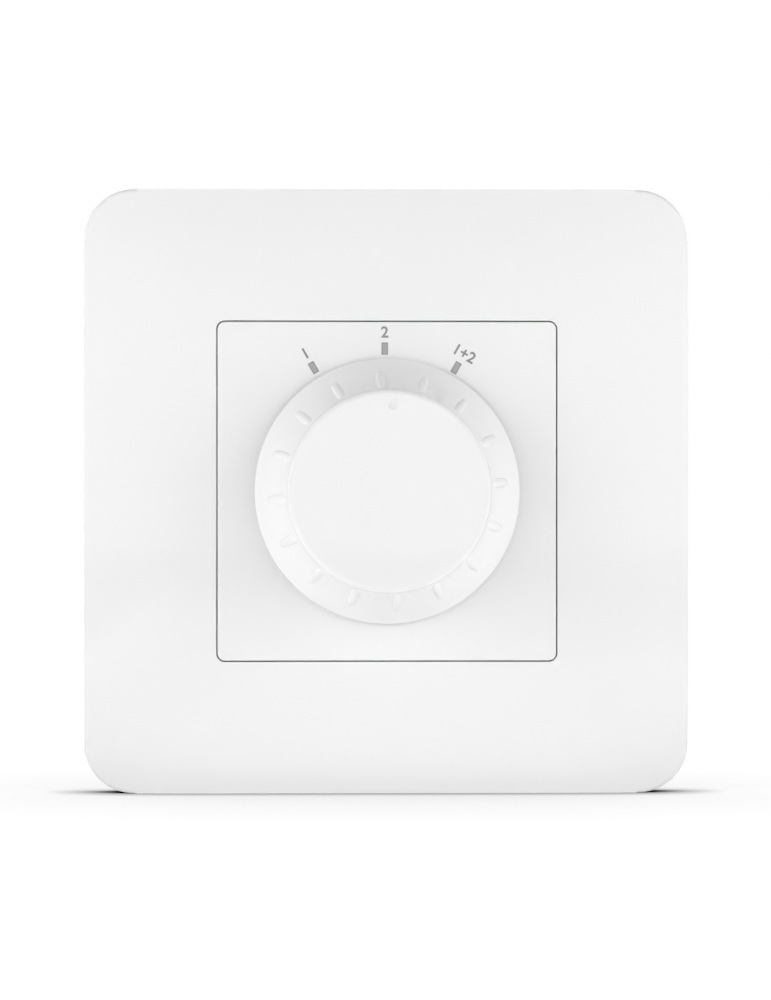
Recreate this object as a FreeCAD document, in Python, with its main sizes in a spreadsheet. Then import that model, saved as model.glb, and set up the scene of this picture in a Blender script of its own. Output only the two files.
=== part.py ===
import FreeCAD, Part
import Sketcher
import math
import os

# Speaker selector: a flush wall plate with a flared knob on a four-pole, three-position switch.
# X runs to the right, Z up and Y into the wall. The origin is on the wall's face, on the knob's axis.
# Depths are given as "out": the distance from the wall's face towards the room, along -Y.

SIZES = {
    # cover frame and centre plate
    "frame_size": 80.0,
    "frame_corner": 6.5,
    "frame_wall": 2.0,
    "face_out": 9.0,
    "curve_radius": 90.0,
    "flat_size": 46.0,
    "plate_size": 44.8,
    "plate_corner": 1.0,
    "plate_thickness": 2.0,
    "plate_play": 0.15,
    "skirt_wall": 1.2,
    # support frame and wall box
    "support_inset": 2.5,
    "support_corner": 4.0,
    "support_thickness": 1.5,
    "window_play": 0.4,
    "fixing_spacing": 60.0,
    "fixing_slot_width": 3.8,
    "fixing_slot_length": 8.0,
    # snap-in arms
    "arm_thickness": 1.2,
    "arm_width": 5.0,
    "hook_reach": 0.9,
    "hook_length": 1.5,
    "arm_play": 0.3,
    "clip_arm_inset": 2.1,
    "clip_arm_z": 12.0,
    "ledge_height": 1.2,
    "ledge_bearing": 1.0,
    "touch_play": 0.05,
    # board posts
    "board_edge": 3.0,
    "board_thickness": 1.6,
    "board_depth": 5.0,
    "post_spacing": 36.0,
    "post_radius": 2.5,
    "board_screw_radius": 1.1,
    "board_screw_head_radius": 2.1,
    "board_screw_head_height": 1.3,
    "board_screw_grip": 6.0,
    # rotary switch
    "switch_radius": 13.0,
    "switch_wall": 1.5,
    "cover_thickness": 2.0,
    "bush_radius": 4.5,
    "bush_length": 5.5,
    "pip_radius": 1.0,
    "pip_place": 11.0,
    "pip_height": 1.0,
    "ear_radius": 2.5,
    "ear_place": 14.5,
    "washer_thickness": 0.5,
    "washer_radius": 6.8,
    "nut_thickness": 2.0,
    "nut_across_flats": 12.0,
    "web_out": 1.0,
    "web_thickness": 1.0,
    "web_hole_radius": 4.0,
    "base_out": -3.0,
    "switch_screw_radius": 1.0,
    "switch_screw_head_radius": 1.8,
    "switch_screw_head_height": 1.0,
    # shaft
    "shaft_radius": 3.0,
    "shaft_front_out": 18.0,
    "shaft_flat": 2.0,
    "shaft_flat_length": 4.2,
    "drive_flat": 2.2,
    "flange_radius": 4.4,
    "flange_thickness": 0.4,
    "pivot_radius": 1.5,
    "pivot_length": 1.8,
    "running_play": 0.03,
    "slip_play": 0.02,
    "groove_depth": 0.5,
    "circlip_thickness": 0.5,
    "circlip_radius": 4.3,
    "circlip_mouth": 3.0,
    # detent
    "wheel_radius": 7.4,
    "wheel_thickness": 2.0,
    "notch_radius": 1.0,
    "notch_place": 7.2,
    "notch_count": 12,
    "bump_radius": 0.9,
    "leaf_place": 7.9,
    "leaf_thickness": 0.3,
    "leaf_length": 16.0,
    "leaf_width": 1.6,
    # rotor and contacts
    "rotor_radius": 10.4,
    "rotor_thickness": 2.0,
    "rotor_play": 0.2,
    "hub_radius": 4.2,
    "hub_length": 1.3,
    "lug_angle": 8.0,
    "lug_reach": 0.8,
    "stop_angle": 38.5,
    "stop_arc": 10.0,
    "contact_place": 9.0,
    "contact_radius": 1.1,
    "contact_height": 0.6,
    "common_inner": 4.9,
    "common_outer": 6.1,
    "common_arc": 72.0,
    "pin_radius": 0.45,
    "pin_tail": 1.6,
    "wiper_width": 1.2,
    "wiper_thickness": 0.25,
    "wiper_dome_radius": 0.55,
    # knob
    "knob_play": 0.5,
    "knob_base_radius": 17.5,
    "knob_rim": 0.5,
    "knob_top_radius": 13.1,
    "knob_height": 9.8,
    "knob_wall": 1.8,
    "flare_radius": 22.0,
    "knob_edge_round": 0.5,
    "boss_radius": 5.0,
    "boss_out": 13.6,
    "clip_thickness": 0.4,
    "clip_width": 3.0,
    "clip_length": 3.6,
    "pointer_radius": 0.8,
    "pointer_depth": 0.4,
    "pointer_place": 11.4,
    "pointer_angle": 2.5,
    "rib_count": 16,
    "rib_radius": 0.9,
    "rib_proud": 0.16,
    "rib_first_angle": -4.2,
    "rib_inner": 13.75,
    "rib_outer": 15.6,
    # terminal blocks
    "block_length": 20.3,
    "block_width": 9.0,
    "block_height": 10.0,
    "way_pitch": 5.0,
    "cage_width": 3.8,
    "cage_length": 4.0,
    "cage_wall": 0.6,
    "cage_height": 5.9,
    "cage_start": 0.8,
    "cage_top_wall": 0.8,
    "cage_play": 0.1,
    "cage_travel": 1.8,
    "bar_start": 5.2,
    "bar_thickness": 0.6,
    "bar_width": 2.4,
    "bar_tip": 2.6,
    "bar_leg": 3.4,
    "leg_pin_width": 0.9,
    "leg_pin_length": 2.4,
    "screw_radius": 1.25,
    "screw_head_radius": 1.9,
    "screw_head_height": 1.0,
    "screw_slot": 0.5,
    "driver_hole_radius": 1.5,
    "block_top_wall": 0.4,
    "wire_entry_width": 3.0,
    "wire_entry_height": 3.2,
    "wire_entry_start": 1.8,
}

QUARTER_TURNS = (0.0, 90.0, 180.0, 270.0)
DETENT_PITCH = 30.0
Y_AXIS = FreeCAD.Vector(0, 1, 0)
OUTWARD = FreeCAD.Rotation(FreeCAD.Vector(1, 0, 0), 90)
BLOCK_TURNS = {"input": 0.0, "output_1": 90.0, "output_2": -90.0}
WAYS = (1, 2, 3, 4)

doc = FreeCAD.newDocument("speaker_selector")
parts = []


class Size:
    """A number together with the sheet expression that it comes from."""

    def __init__(self, value, text):
        self.value = value
        self.text = text

    def __add__(self, other):
        other = size_of(other)
        return Size(self.value + other.value, f"({self.text} + {other.text})")

    def __sub__(self, other):
        other = size_of(other)
        return Size(self.value - other.value, f"({self.text} - {other.text})")

    def __mul__(self, other):
        other = size_of(other)
        return Size(self.value * other.value, f"({self.text} * {other.text})")

    def __truediv__(self, other):
        other = size_of(other)
        return Size(self.value / other.value, f"({self.text} / {other.text})")

    def __neg__(self):
        return Size(-self.value, f"(0 - {self.text})")

    def __radd__(self, other):
        return size_of(other) + self

    def __rsub__(self, other):
        return size_of(other) - self

    def __rmul__(self, other):
        return size_of(other) * self


def size_of(number):
    if isinstance(number, Size):
        return number
    return Size(float(number), f"({float(number):.9f})")


class Sheet:
    """The driving dimensions, read by name."""

    def __init__(self, document, table):
        self.sheet = document.addObject("Spreadsheet::Sheet", "Sizes")
        for row, (name, number) in enumerate(table.items(), start=1):
            self.sheet.set(f"A{row}", name)
            self.sheet.set(f"B{row}", str(number))
            self.sheet.setAlias(f"B{row}", name)
        document.recompute()

    def __getattr__(self, name):
        return Size(float(self.sheet.get(name)), f"Sizes.{name}")


S = Sheet(doc, SIZES)


# drawing helpers


def bind(item, path, size):
    size = size_of(size)
    item.setExpression(path, size.text)


def origin_plane(body, role):
    return next(f for f in body.Origin.OriginFeatures if f.Role == role)


def new_body(name):
    return doc.addObject("PartDesign::Body", name)


def new_sketch(body, name, role, offset=0.0):
    sketch = body.newObject("Sketcher::SketchObject", f"{name}_sketch")
    sketch.AttachmentSupport = (origin_plane(body, role), [""])
    sketch.MapMode = "FlatFace"
    offset = size_of(offset)
    sketch.AttachmentOffset = FreeCAD.Placement(
        FreeCAD.Vector(0, 0, offset.value), FreeCAD.Rotation()
    )
    bind(sketch, "AttachmentOffset.Base.z", offset)
    return sketch


def constrain(sketch, kind, *what):
    *ends, size = what
    size = size_of(size)
    index = sketch.addConstraint(Sketcher.Constraint(kind, *ends, size.value))
    bind(sketch, f"Constraints[{index}]", size)


def pin_point(sketch, edge, end, x, y):
    constrain(sketch, "DistanceX", -1, 1, edge, end, x)
    constrain(sketch, "DistanceY", -1, 1, edge, end, y)


def add_polygon(sketch, points):
    first = sketch.GeometryCount
    count = len(points)
    points = [(size_of(x), size_of(y)) for x, y in points]
    corners = [FreeCAD.Vector(x.value, y.value, 0) for x, y in points]
    for i in range(count):
        sketch.addGeometry(Part.LineSegment(corners[i], corners[(i + 1) % count]))
    for i in range(count):
        following = first + (i + 1) % count
        sketch.addConstraint(Sketcher.Constraint("Coincident", first + i, 2, following, 1))
    for i, (x, y) in enumerate(points):
        pin_point(sketch, first + i, 1, x, y)


def add_rectangle(sketch, x0, x1, z0, z1):
    add_polygon(sketch, [(x0, z0), (x1, z0), (x1, z1), (x0, z1)])


def add_circle(sketch, x, z, radius):
    x, z, radius = size_of(x), size_of(z), size_of(radius)
    centre = FreeCAD.Vector(x.value, z.value, 0)
    edge = sketch.addGeometry(Part.Circle(centre, FreeCAD.Vector(0, 0, 1), radius.value))
    pin_point(sketch, edge, 3, x, z)
    constrain(sketch, "Radius", edge, radius)


def add_flatted_circle(sketch, radius, flat, two_flats):
    """A circle about the axis with a flat below it, and one above it where there are two."""
    radius, flat = size_of(radius), size_of(flat)
    low = -math.asin(flat.value / radius.value)
    half = math.sqrt(radius.value**2 - flat.value**2)
    circle = Part.Circle(FreeCAD.Vector(), FreeCAD.Vector(0, 0, 1), radius.value)
    left_low = FreeCAD.Vector(-half, -flat.value, 0)
    right_low = FreeCAD.Vector(half, -flat.value, 0)
    if not two_flats:
        arc = sketch.addGeometry(Part.ArcOfCircle(circle, low, math.pi - low))
        line = sketch.addGeometry(Part.LineSegment(left_low, right_low))
        joins = [(arc, 2, line, 1), (line, 2, arc, 1)]
        arcs, lines = [arc], [(line, -flat)]
    else:
        right = sketch.addGeometry(Part.ArcOfCircle(circle, low, -low))
        top = sketch.addGeometry(Part.LineSegment(-left_low, -right_low))
        left = sketch.addGeometry(Part.ArcOfCircle(circle, math.pi + low, math.pi - low))
        bottom = sketch.addGeometry(Part.LineSegment(left_low, right_low))
        joins = [(right, 2, top, 1), (top, 2, left, 1), (left, 2, bottom, 1), (bottom, 2, right, 1)]
        arcs, lines = [right, left], [(top, flat), (bottom, -flat)]
    for join in joins:
        sketch.addConstraint(Sketcher.Constraint("Coincident", *join))
    for arc in arcs:
        sketch.addConstraint(Sketcher.Constraint("Coincident", arc, 3, -1, 1))
        constrain(sketch, "Radius", arc, radius)
    for line, height in lines:
        sketch.addConstraint(Sketcher.Constraint("Horizontal", line))
        constrain(sketch, "DistanceY", -1, 1, line, 1, height)


def add_sector(sketch, inner, outer, middle, arc):
    """A piece of a ring about the axis, its angles in degrees from +X towards +Z."""
    inner, outer = size_of(inner), size_of(outer)
    start, end = math.radians(middle - arc / 2), math.radians(middle + arc / 2)
    up = FreeCAD.Vector(0, 0, 1)
    first = sketch.addGeometry(Part.ArcOfCircle(Part.Circle(FreeCAD.Vector(), up, outer.value), start, end))
    sketch.addGeometry(Part.ArcOfCircle(Part.Circle(FreeCAD.Vector(), up, inner.value), start, end))
    for edge, radius in ((first, outer), (first + 1, inner)):
        sketch.addConstraint(Sketcher.Constraint("Coincident", edge, 3, -1, 1))
        constrain(sketch, "Radius", edge, radius)
        constrain(sketch, "DistanceX", -1, 1, edge, 1, radius * math.cos(start))
        constrain(sketch, "DistanceX", -1, 1, edge, 2, radius * math.cos(end))
    for end_of_arc, angle in ((1, start), (2, end)):
        direction = FreeCAD.Vector(math.cos(angle), math.sin(angle), 0)
        line = sketch.addGeometry(Part.LineSegment(direction * outer.value, direction * inner.value))
        sketch.addConstraint(Sketcher.Constraint("Coincident", line, 1, first, end_of_arc))
        sketch.addConstraint(Sketcher.Constraint("Coincident", line, 2, first + 1, end_of_arc))


def raise_sketch(body, sketch, kind, length):
    feature = body.newObject(kind, sketch.Label.replace("_sketch", ""))
    feature.Profile = sketch
    bind(feature, "Length", length)
    sketch.Visibility = False
    return feature


def pad(body, name, draw, out0, out1):
    """Add what draw() draws, from out0 to out1."""
    sketch = new_sketch(body, name, "XZ_Plane", out0)
    draw(sketch)
    return raise_sketch(body, sketch, "PartDesign::Pad", out1 - size_of(out0))


def pocket(body, name, draw, out0, out1):
    """Cut what draw() draws, from out1 back to out0."""
    sketch = new_sketch(body, name, "XZ_Plane", out1)
    draw(sketch)
    return raise_sketch(body, sketch, "PartDesign::Pocket", out1 - size_of(out0))


def rectangle(x0, x1, z0, z1):
    return lambda sketch: add_rectangle(sketch, x0, x1, z0, z1)


def square(side):
    return rectangle(-side / 2, side / 2, -side / 2, side / 2)


def disc(radius, x=0.0, z=0.0):
    return lambda sketch: add_circle(sketch, x, z, radius)


def discs(radius, places):
    def draw(sketch):
        for x, z in places:
            add_circle(sketch, x, z, radius)

    return draw


def turn(body, name, points):
    """A turned solid about the Y axis from (radius, out) points."""
    sketch = new_sketch(body, name, "XY_Plane")
    add_polygon(sketch, [(r, -size_of(out)) for r, out in points])
    feature = body.newObject("PartDesign::Revolution", name)
    feature.Profile = sketch
    feature.ReferenceAxis = (sketch, ["V_Axis"])
    feature.Angle = 360
    sketch.Visibility = False
    return feature


def round_edges(body, name, radius, wanted):
    """Round the edges of the body's tip that wanted(edge) picks."""
    doc.recompute()
    base = body.Tip
    edges = [f"Edge{i}" for i, e in enumerate(base.Shape.Edges, start=1) if wanted(e)]
    feature = body.newObject("PartDesign::Fillet", name)
    feature.Base = (base, edges)
    bind(feature, "Radius", radius)
    return feature


def runs_along(edge, direction):
    if edge.Curve.TypeId != "Part::GeomLine":
        return False
    return abs(abs(edge.Curve.Direction.dot(direction)) - 1) < 1e-6


def round_corners(body, name, radius):
    return round_edges(body, name, radius, lambda e: runs_along(e, Y_AXIS))


def polar_places(radius, angles):
    """Places at that radius, the angles in degrees clockwise from the top."""
    return [
        (radius * math.sin(math.radians(a)), radius * math.cos(math.radians(a))) for a in angles
    ]


def make_box(name, x0, x1, out0, out1, z0, z1):
    x0, x1, out0, out1, z0, z1 = (size_of(v) for v in (x0, x1, out0, out1, z0, z1))
    box = doc.addObject("Part::Box", name)
    bind(box, "Length", x1 - x0)
    bind(box, "Width", out1 - out0)
    bind(box, "Height", z1 - z0)
    bind(box, "Placement.Base.x", x0)
    bind(box, "Placement.Base.y", -out1)
    bind(box, "Placement.Base.z", z0)
    return box


def make_rod(name, radius, out0, out1, x=0.0, z=0.0):
    """A round bar along the depth."""
    out0, out1 = size_of(out0), size_of(out1)
    rod = doc.addObject("Part::Cylinder", name)
    rod.Placement = FreeCAD.Placement(FreeCAD.Vector(), OUTWARD)
    bind(rod, "Radius", radius)
    bind(rod, "Height", out1 - out0)
    bind(rod, "Placement.Base.x", x)
    bind(rod, "Placement.Base.y", -out0)
    bind(rod, "Placement.Base.z", z)
    return rod


def fuse(name, items):
    joined = doc.addObject("Part::MultiFuse", name)
    joined.Shapes = items
    return joined


def cut(name, base, tool):
    result = doc.addObject("Part::Cut", name)
    result.Base = base
    result.Tool = tool
    return result


def common(name, items):
    shared = doc.addObject("Part::MultiCommon", name)
    shared.Shapes = items
    return shared


def group(name, items):
    gathered = doc.addObject("Part::Compound", name)
    gathered.Links = items
    return gathered


def finish(item, turn_about_y=0.0):
    """Keep the item as a piece of the part, turned about the knob's axis where asked."""
    item.Label = item.Name
    if turn_about_y:
        item.Placement = FreeCAD.Placement(
            FreeCAD.Vector(), FreeCAD.Rotation(Y_AXIS, turn_about_y)
        )
    parts.append(item)


# places that several pieces share, as distances out from the wall

plate_back = S.face_out - S.plate_thickness
switch_front = plate_back - S.cover_thickness
bush_front = plate_back + S.bush_length
base_back = -S.board_depth
board_back = base_back - S.board_thickness
rotor_front = S.web_out - S.rotor_play
rotor_back = rotor_front - S.rotor_thickness
contact_front = S.base_out + S.contact_height
drive_back = rotor_back - S.hub_length
wheel_back = S.web_out + S.web_thickness + 2 * S.rotor_play
wheel_front = wheel_back + S.wheel_thickness
ear_offset = S.ear_place * math.sqrt(0.5)
EAR_PLACES = [(ear_offset, ear_offset), (-ear_offset, -ear_offset)]
post_offset = S.post_spacing / 2
POST_PLACES = [(x * post_offset, z * post_offset) for x in (1, -1) for z in (1, -1)]
board_size = S.post_spacing + 2 * S.board_edge
support_size = S.frame_size - 2 * (S.frame_wall + S.support_inset)
window_size = S.plate_size + 2 * S.window_play
flange_size = window_size + 2 * S.ledge_bearing
clip_arm_place = flange_size / 2 + S.clip_arm_inset + S.arm_thickness / 2
cavity_radius = S.switch_radius - S.switch_wall
OUTER_ANGLES = [DETENT_PITCH * i for i in range(12)]


# cover frame and centre plate


def curved_block(name, side, corner, height):
    """A square block with round corners, whose front falls away towards its edges."""
    dome = new_body(f"{name}_dome")
    reach = S.flat_size + 2 * S.curve_radius
    pad(dome, f"{name}_dome_block", square(reach), -S.curve_radius, height)

    def falls_away(edge):
        if runs_along(edge, Y_AXIS):
            return True
        return all(abs(v.Point.y + height.value) < 1e-6 for v in edge.Vertexes)

    round_edges(dome, f"{name}_dome_curve", S.curve_radius, falls_away)
    outline = new_body(f"{name}_outline")
    pad(outline, f"{name}_outline_block", square(side), 0.0, height)
    round_corners(outline, f"{name}_outline_corners", corner)
    return common(f"{name}_block", [dome, outline])


def rounded_square(name, side, corner, out0, out1):
    body = new_body(name)
    pad(body, f"{name}_block", square(side), out0, out1)
    round_corners(body, f"{name}_corners", corner)
    return body


def make_cover_frame():
    outside = curved_block("frame_outside", S.frame_size, S.frame_corner, S.face_out)
    inside = curved_block(
        "frame_inside",
        S.frame_size - 2 * S.frame_wall,
        S.frame_corner - S.frame_wall,
        S.face_out - S.frame_wall,
    )
    opening_size = S.plate_size + 2 * S.plate_play
    opening = rounded_square(
        "frame_opening", opening_size, S.plate_corner + S.plate_play, 0.0, S.face_out + 1
    )
    arms = []
    hook_back = -S.touch_play - S.hook_length
    for i, (side, end) in enumerate([(1, 1), (1, -1), (-1, 1), (-1, -1)], start=1):
        inner_x = side * (clip_arm_place - S.arm_thickness / 2)
        outer_x = side * (clip_arm_place + S.arm_thickness / 2)
        nose_x = outer_x + side * S.hook_reach
        z0 = end * S.clip_arm_z - S.arm_width / 2
        z1 = z0 + S.arm_width
        low, high = (inner_x, outer_x) if side > 0 else (outer_x, inner_x)
        arm_top = S.face_out - S.frame_wall / 2
        arms.append(make_box(f"clip_arm_{i}", low, high, hook_back, arm_top, z0, z1))
        low, high = (inner_x, nose_x) if side > 0 else (nose_x, inner_x)
        arms.append(make_box(f"clip_hook_{i}", low, high, hook_back, -S.touch_play, z0, z1))
    hollow = cut("frame_hollow", outside, inside)
    shell = cut("frame_shell", hollow, opening)
    finish(fuse("cover_frame", [shell] + arms))


def make_centre_plate():
    body = rounded_square("centre_plate", S.plate_size, S.plate_corner, plate_back, S.face_out)
    ledge_back = S.support_thickness
    ledge_front = ledge_back + S.ledge_height
    half = S.plate_size / 2
    inner = S.plate_size - 2 * S.skirt_wall
    pad(body, "plate_skirt", square(S.plate_size), ledge_front, plate_back)
    pad(body, "plate_flange", square(flange_size), ledge_back, ledge_front)
    pocket(body, "plate_inside", square(inner), ledge_back, plate_back)
    pad(body, "plate_posts", discs(S.post_radius, POST_PLACES), base_back, plate_back)
    hook_back = -S.touch_play - S.hook_length
    arm_half = S.arm_width / 2
    arm = pad(
        body,
        "plate_arm",
        rectangle(half - S.skirt_wall, half, -arm_half, arm_half),
        hook_back,
        ledge_back,
    )
    nose = pad(
        body,
        "plate_hook",
        rectangle(half - S.skirt_wall, half + S.hook_reach, -arm_half, arm_half),
        hook_back,
        -S.touch_play,
    )
    doc.recompute()
    pattern = body.newObject("PartDesign::PolarPattern", "plate_four_sides")
    pattern.Originals = [arm, nose]
    pattern.Axis = (next(f for f in body.Origin.OriginFeatures if f.Role == "Y_Axis"), [""])
    pattern.Angle = 360
    pattern.Occurrences = 4
    body.Tip = pattern
    pocket(
        body, "plate_bush_hole", disc(S.bush_radius + S.touch_play), plate_back, S.face_out
    )
    pocket(
        body,
        "plate_pip_hole",
        disc(S.pip_radius + S.touch_play, 0.0, S.pip_place),
        plate_back,
        plate_back + S.pip_height + 0.2,
    )
    pilot_depth = base_back + S.board_screw_grip + S.touch_play
    pocket(
        body,
        "plate_pilot_holes",
        discs(S.board_screw_radius + S.slip_play, POST_PLACES),
        base_back,
        pilot_depth,
    )
    finish(body)


def make_support_frame():
    front = S.support_thickness
    body = rounded_square("support_frame", support_size, S.support_corner, 0.0, front)
    pocket(body, "support_window", square(window_size), 0.0, front)
    half_slot = S.fixing_slot_width / 2
    straight = (S.fixing_slot_length - S.fixing_slot_width) / 2
    place = S.fixing_spacing / 2
    for name, x, z in (("right", 1, 0), ("left", -1, 0), ("top", 0, 1), ("bottom", 0, -1)):
        centre_x, centre_z = x * place, z * place
        along_x, along_z = (straight, half_slot) if x else (half_slot, straight)
        step_x, step_z = abs(x) * straight, abs(z) * straight
        ends = [(centre_x + s * step_x, centre_z + s * step_z) for s in (1, -1)]
        middle = rectangle(
            centre_x - along_x, centre_x + along_x, centre_z - along_z, centre_z + along_z
        )
        pocket(body, f"fixing_slot_{name}", middle, 0.0, front)
        pocket(body, f"fixing_slot_{name}_ends", discs(half_slot, ends), 0.0, front)
    half_depth = S.arm_thickness / 2 + S.arm_play
    half_width = S.arm_width / 2 + S.arm_play
    for i, (side, end) in enumerate([(1, 1), (1, -1), (-1, 1), (-1, -1)], start=1):
        x = side * clip_arm_place
        z = end * S.clip_arm_z
        hole = rectangle(x - half_depth, x + half_depth, z - half_width, z + half_width)
        pocket(body, f"clip_slot_{i}", hole, 0.0, front)
    finish(body)


# rotary switch


def make_switch_cover():
    body = new_body("switch_cover")
    pad(body, "cover_disc", disc(S.switch_radius), switch_front, plate_back)
    pad(body, "cover_ears", discs(S.ear_radius, EAR_PLACES), switch_front, plate_back)
    pad(body, "cover_bush", disc(S.bush_radius), plate_back, bush_front)
    pad(
        body,
        "cover_pip",
        disc(S.pip_radius, 0.0, S.pip_place),
        plate_back,
        plate_back + S.pip_height,
    )
    bore = disc(S.shaft_radius + S.running_play)
    pocket(body, "cover_bore", bore, switch_front, bush_front)
    holes = discs(S.switch_screw_radius + S.slip_play, EAR_PLACES)
    pocket(body, "cover_screw_holes", holes, switch_front, plate_back - 0.3)
    finish(body)


def make_lock_washer():
    body = new_body("lock_washer")
    front = S.face_out + S.washer_thickness
    pad(body, "washer_disc", disc(S.washer_radius), S.face_out, front)
    pocket(body, "washer_hole", disc(S.bush_radius + S.touch_play), S.face_out, front)
    tooth = rectangle(-0.5, 0.5, S.bush_radius + 1.2, S.washer_radius + 1)
    notch = pocket(body, "washer_notch", tooth, S.face_out, front)
    doc.recompute()
    pattern = body.newObject("PartDesign::PolarPattern", "washer_teeth")
    pattern.Originals = [notch]
    pattern.Axis = (next(f for f in body.Origin.OriginFeatures if f.Role == "Y_Axis"), [""])
    pattern.Angle = 360
    pattern.Occurrences = 10
    body.Tip = pattern
    finish(body)


def make_hex_nut():
    body = new_body("hex_nut")
    back = S.face_out + S.washer_thickness
    front = back + S.nut_thickness
    corner = S.nut_across_flats / math.sqrt(3)
    corners = polar_places(corner, [60 * i for i in range(6)])
    pad(body, "nut_hexagon", lambda sketch: add_polygon(sketch, corners), back, front)
    pocket(body, "nut_hole", disc(S.bush_radius + S.slip_play), back, front)
    finish(body)


def make_switch_shaft():
    body = new_body("switch_shaft")
    flange_front = switch_front - S.touch_play
    flange_back = flange_front - S.flange_thickness
    groove_back = bush_front + S.touch_play
    groove_front = groove_back + S.circlip_thickness + S.slip_play
    groove_radius = S.shaft_radius - S.groove_depth
    tip = 0.4
    turn(
        body,
        "shaft_turned",
        [
            (0.0, flange_back),
            (S.flange_radius, flange_back),
            (S.flange_radius, flange_front),
            (S.shaft_radius, flange_front),
            (S.shaft_radius, groove_back),
            (groove_radius, groove_back),
            (groove_radius, groove_front),
            (S.shaft_radius, groove_front),
            (S.shaft_radius, S.shaft_front_out - tip),
            (S.shaft_radius - tip, S.shaft_front_out),
            (0.0, S.shaft_front_out),
        ],
    )
    below = rectangle(-S.shaft_radius, S.shaft_radius, -2 * S.shaft_radius, -S.shaft_flat)
    flat_back = S.shaft_front_out - S.shaft_flat_length
    pocket(body, "shaft_flat_cut", below, flat_back, S.shaft_front_out)
    drive = lambda sketch: add_flatted_circle(sketch, S.shaft_radius, S.drive_flat, True)
    pad(body, "shaft_drive", drive, drive_back, flange_back)
    pad(body, "shaft_pivot", disc(S.pivot_radius), drive_back - S.pivot_length, drive_back)
    finish(body)


def make_shaft_circlip():
    body = new_body("shaft_circlip")
    back = bush_front + S.touch_play + S.slip_play / 2
    front = back + S.circlip_thickness
    groove_radius = S.shaft_radius - S.groove_depth
    half_mouth = S.circlip_mouth / 2
    pad(body, "circlip_disc", disc(S.circlip_radius), back, front)
    pocket(body, "circlip_hole", disc(groove_radius + S.slip_play), back, front)
    mouth = rectangle(-half_mouth, half_mouth, 0.0, S.circlip_radius + 1)
    pocket(body, "circlip_mouth_cut", mouth, back, front)
    finish(body)


def drive_hole(sketch):
    add_flatted_circle(sketch, S.shaft_radius + S.slip_play, S.drive_flat + S.slip_play, True)


def make_detent_wheel():
    body = new_body("detent_wheel")
    pad(body, "wheel_disc", disc(S.wheel_radius), wheel_back, wheel_front)
    notch = pocket(
        body, "wheel_notch", disc(S.notch_radius, 0.0, S.notch_place), wheel_back, wheel_front
    )
    doc.recompute()
    pattern = body.newObject("PartDesign::PolarPattern", "wheel_notches")
    pattern.Originals = [notch]
    pattern.Axis = (next(f for f in body.Origin.OriginFeatures if f.Role == "Y_Axis"), [""])
    pattern.Angle = 360
    bind(pattern, "Occurrences", S.notch_count)
    body.Tip = pattern
    pocket(body, "wheel_drive_hole", drive_hole, wheel_back, wheel_front)
    finish(body)


def make_detent_springs():
    middle = (wheel_back + wheel_front) / 2
    back = middle - S.leaf_width / 2
    front = middle + S.leaf_width / 2
    half = S.leaf_length / 2
    leaves = []
    for name, side in (("upper", 1), ("lower", -1)):
        near = side * S.leaf_place
        far = side * (S.leaf_place + S.leaf_thickness)
        low, high = (near, far) if side > 0 else (far, near)
        strip = make_box(f"{name}_leaf_strip", -half, half, back, front, low, high)
        bump = make_rod(
            f"{name}_leaf_bump", S.bump_radius, back, front, 0.0, side * S.notch_place
        )
        leaves.append(fuse(f"{name}_leaf", [strip, bump]))
    finish(group("detent_springs", leaves))


def make_switch_housing():
    body = new_body("switch_housing")
    web_front = S.web_out + S.web_thickness
    pad(body, "housing_disc", disc(S.switch_radius), S.base_out, switch_front)
    pad(body, "housing_ears", discs(S.ear_radius, EAR_PLACES), S.base_out, switch_front)
    pocket(body, "housing_front_room", disc(cavity_radius), web_front, switch_front)
    pocket(body, "housing_rear_room", disc(cavity_radius), S.base_out, S.web_out)
    pocket(body, "housing_web_hole", disc(S.web_hole_radius), S.web_out, web_front)
    stop_inner = cavity_radius - S.lug_reach - 0.1
    stop_middle = S.stop_angle + S.stop_arc / 2
    for name, side in (("left", 1), ("right", -1)):
        angle = 90 + side * stop_middle.value
        draw = lambda sketch, a=angle: add_sector(
            sketch, stop_inner, cavity_radius + S.switch_wall / 2, a, S.stop_arc.value
        )
        pad(body, f"housing_stop_{name}", draw, rotor_back, S.web_out)
    holes = discs(S.switch_screw_radius + S.slip_play, EAR_PLACES)
    pocket(body, "housing_screw_holes", holes, S.base_out, switch_front)
    finish(body)


def make_contact_rotor():
    body = new_body("contact_rotor")
    pad(body, "rotor_disc", disc(S.rotor_radius), rotor_back, rotor_front)
    lug = lambda sketch: add_sector(
        sketch,
        S.rotor_radius - 1,
        S.rotor_radius + S.lug_reach,
        90,
        2 * S.lug_angle.value,
    )
    pad(body, "rotor_lug", lug, rotor_back, rotor_front)
    pad(body, "rotor_hub", disc(S.hub_radius), drive_back, rotor_back)
    pocket(body, "rotor_drive_hole", drive_hole, drive_back, rotor_front)
    finish(body)


def make_wiper_contacts():
    back = rotor_back - S.wiper_thickness
    half = S.wiper_width / 2
    middle = (S.common_inner + S.common_outer) / 2
    inner_end = S.common_inner
    outer_end = S.contact_place + S.wiper_dome_radius + 0.1
    dome_back = contact_front + S.touch_play
    blades = []
    for i, angle in enumerate(QUARTER_TURNS, start=1):
        strip = make_box(f"wiper_strip_{i}", -half, half, back, rotor_back, inner_end, outer_end)
        inner = make_rod(f"wiper_inner_{i}", S.wiper_dome_radius, dome_back, rotor_back, 0.0, middle)
        outer = make_rod(
            f"wiper_outer_{i}", S.wiper_dome_radius, dome_back, rotor_back, 0.0, S.contact_place
        )
        blade = fuse(f"wiper_{i}", [strip, inner, outer])
        blade.Placement = FreeCAD.Placement(
            FreeCAD.Vector(), FreeCAD.Rotation(Y_AXIS, angle)
        )
        blades.append(blade)
    finish(group("wiper_contacts", blades))


def common_pin_places():
    return polar_places((S.common_inner + S.common_outer) / 2, QUARTER_TURNS)


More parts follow.
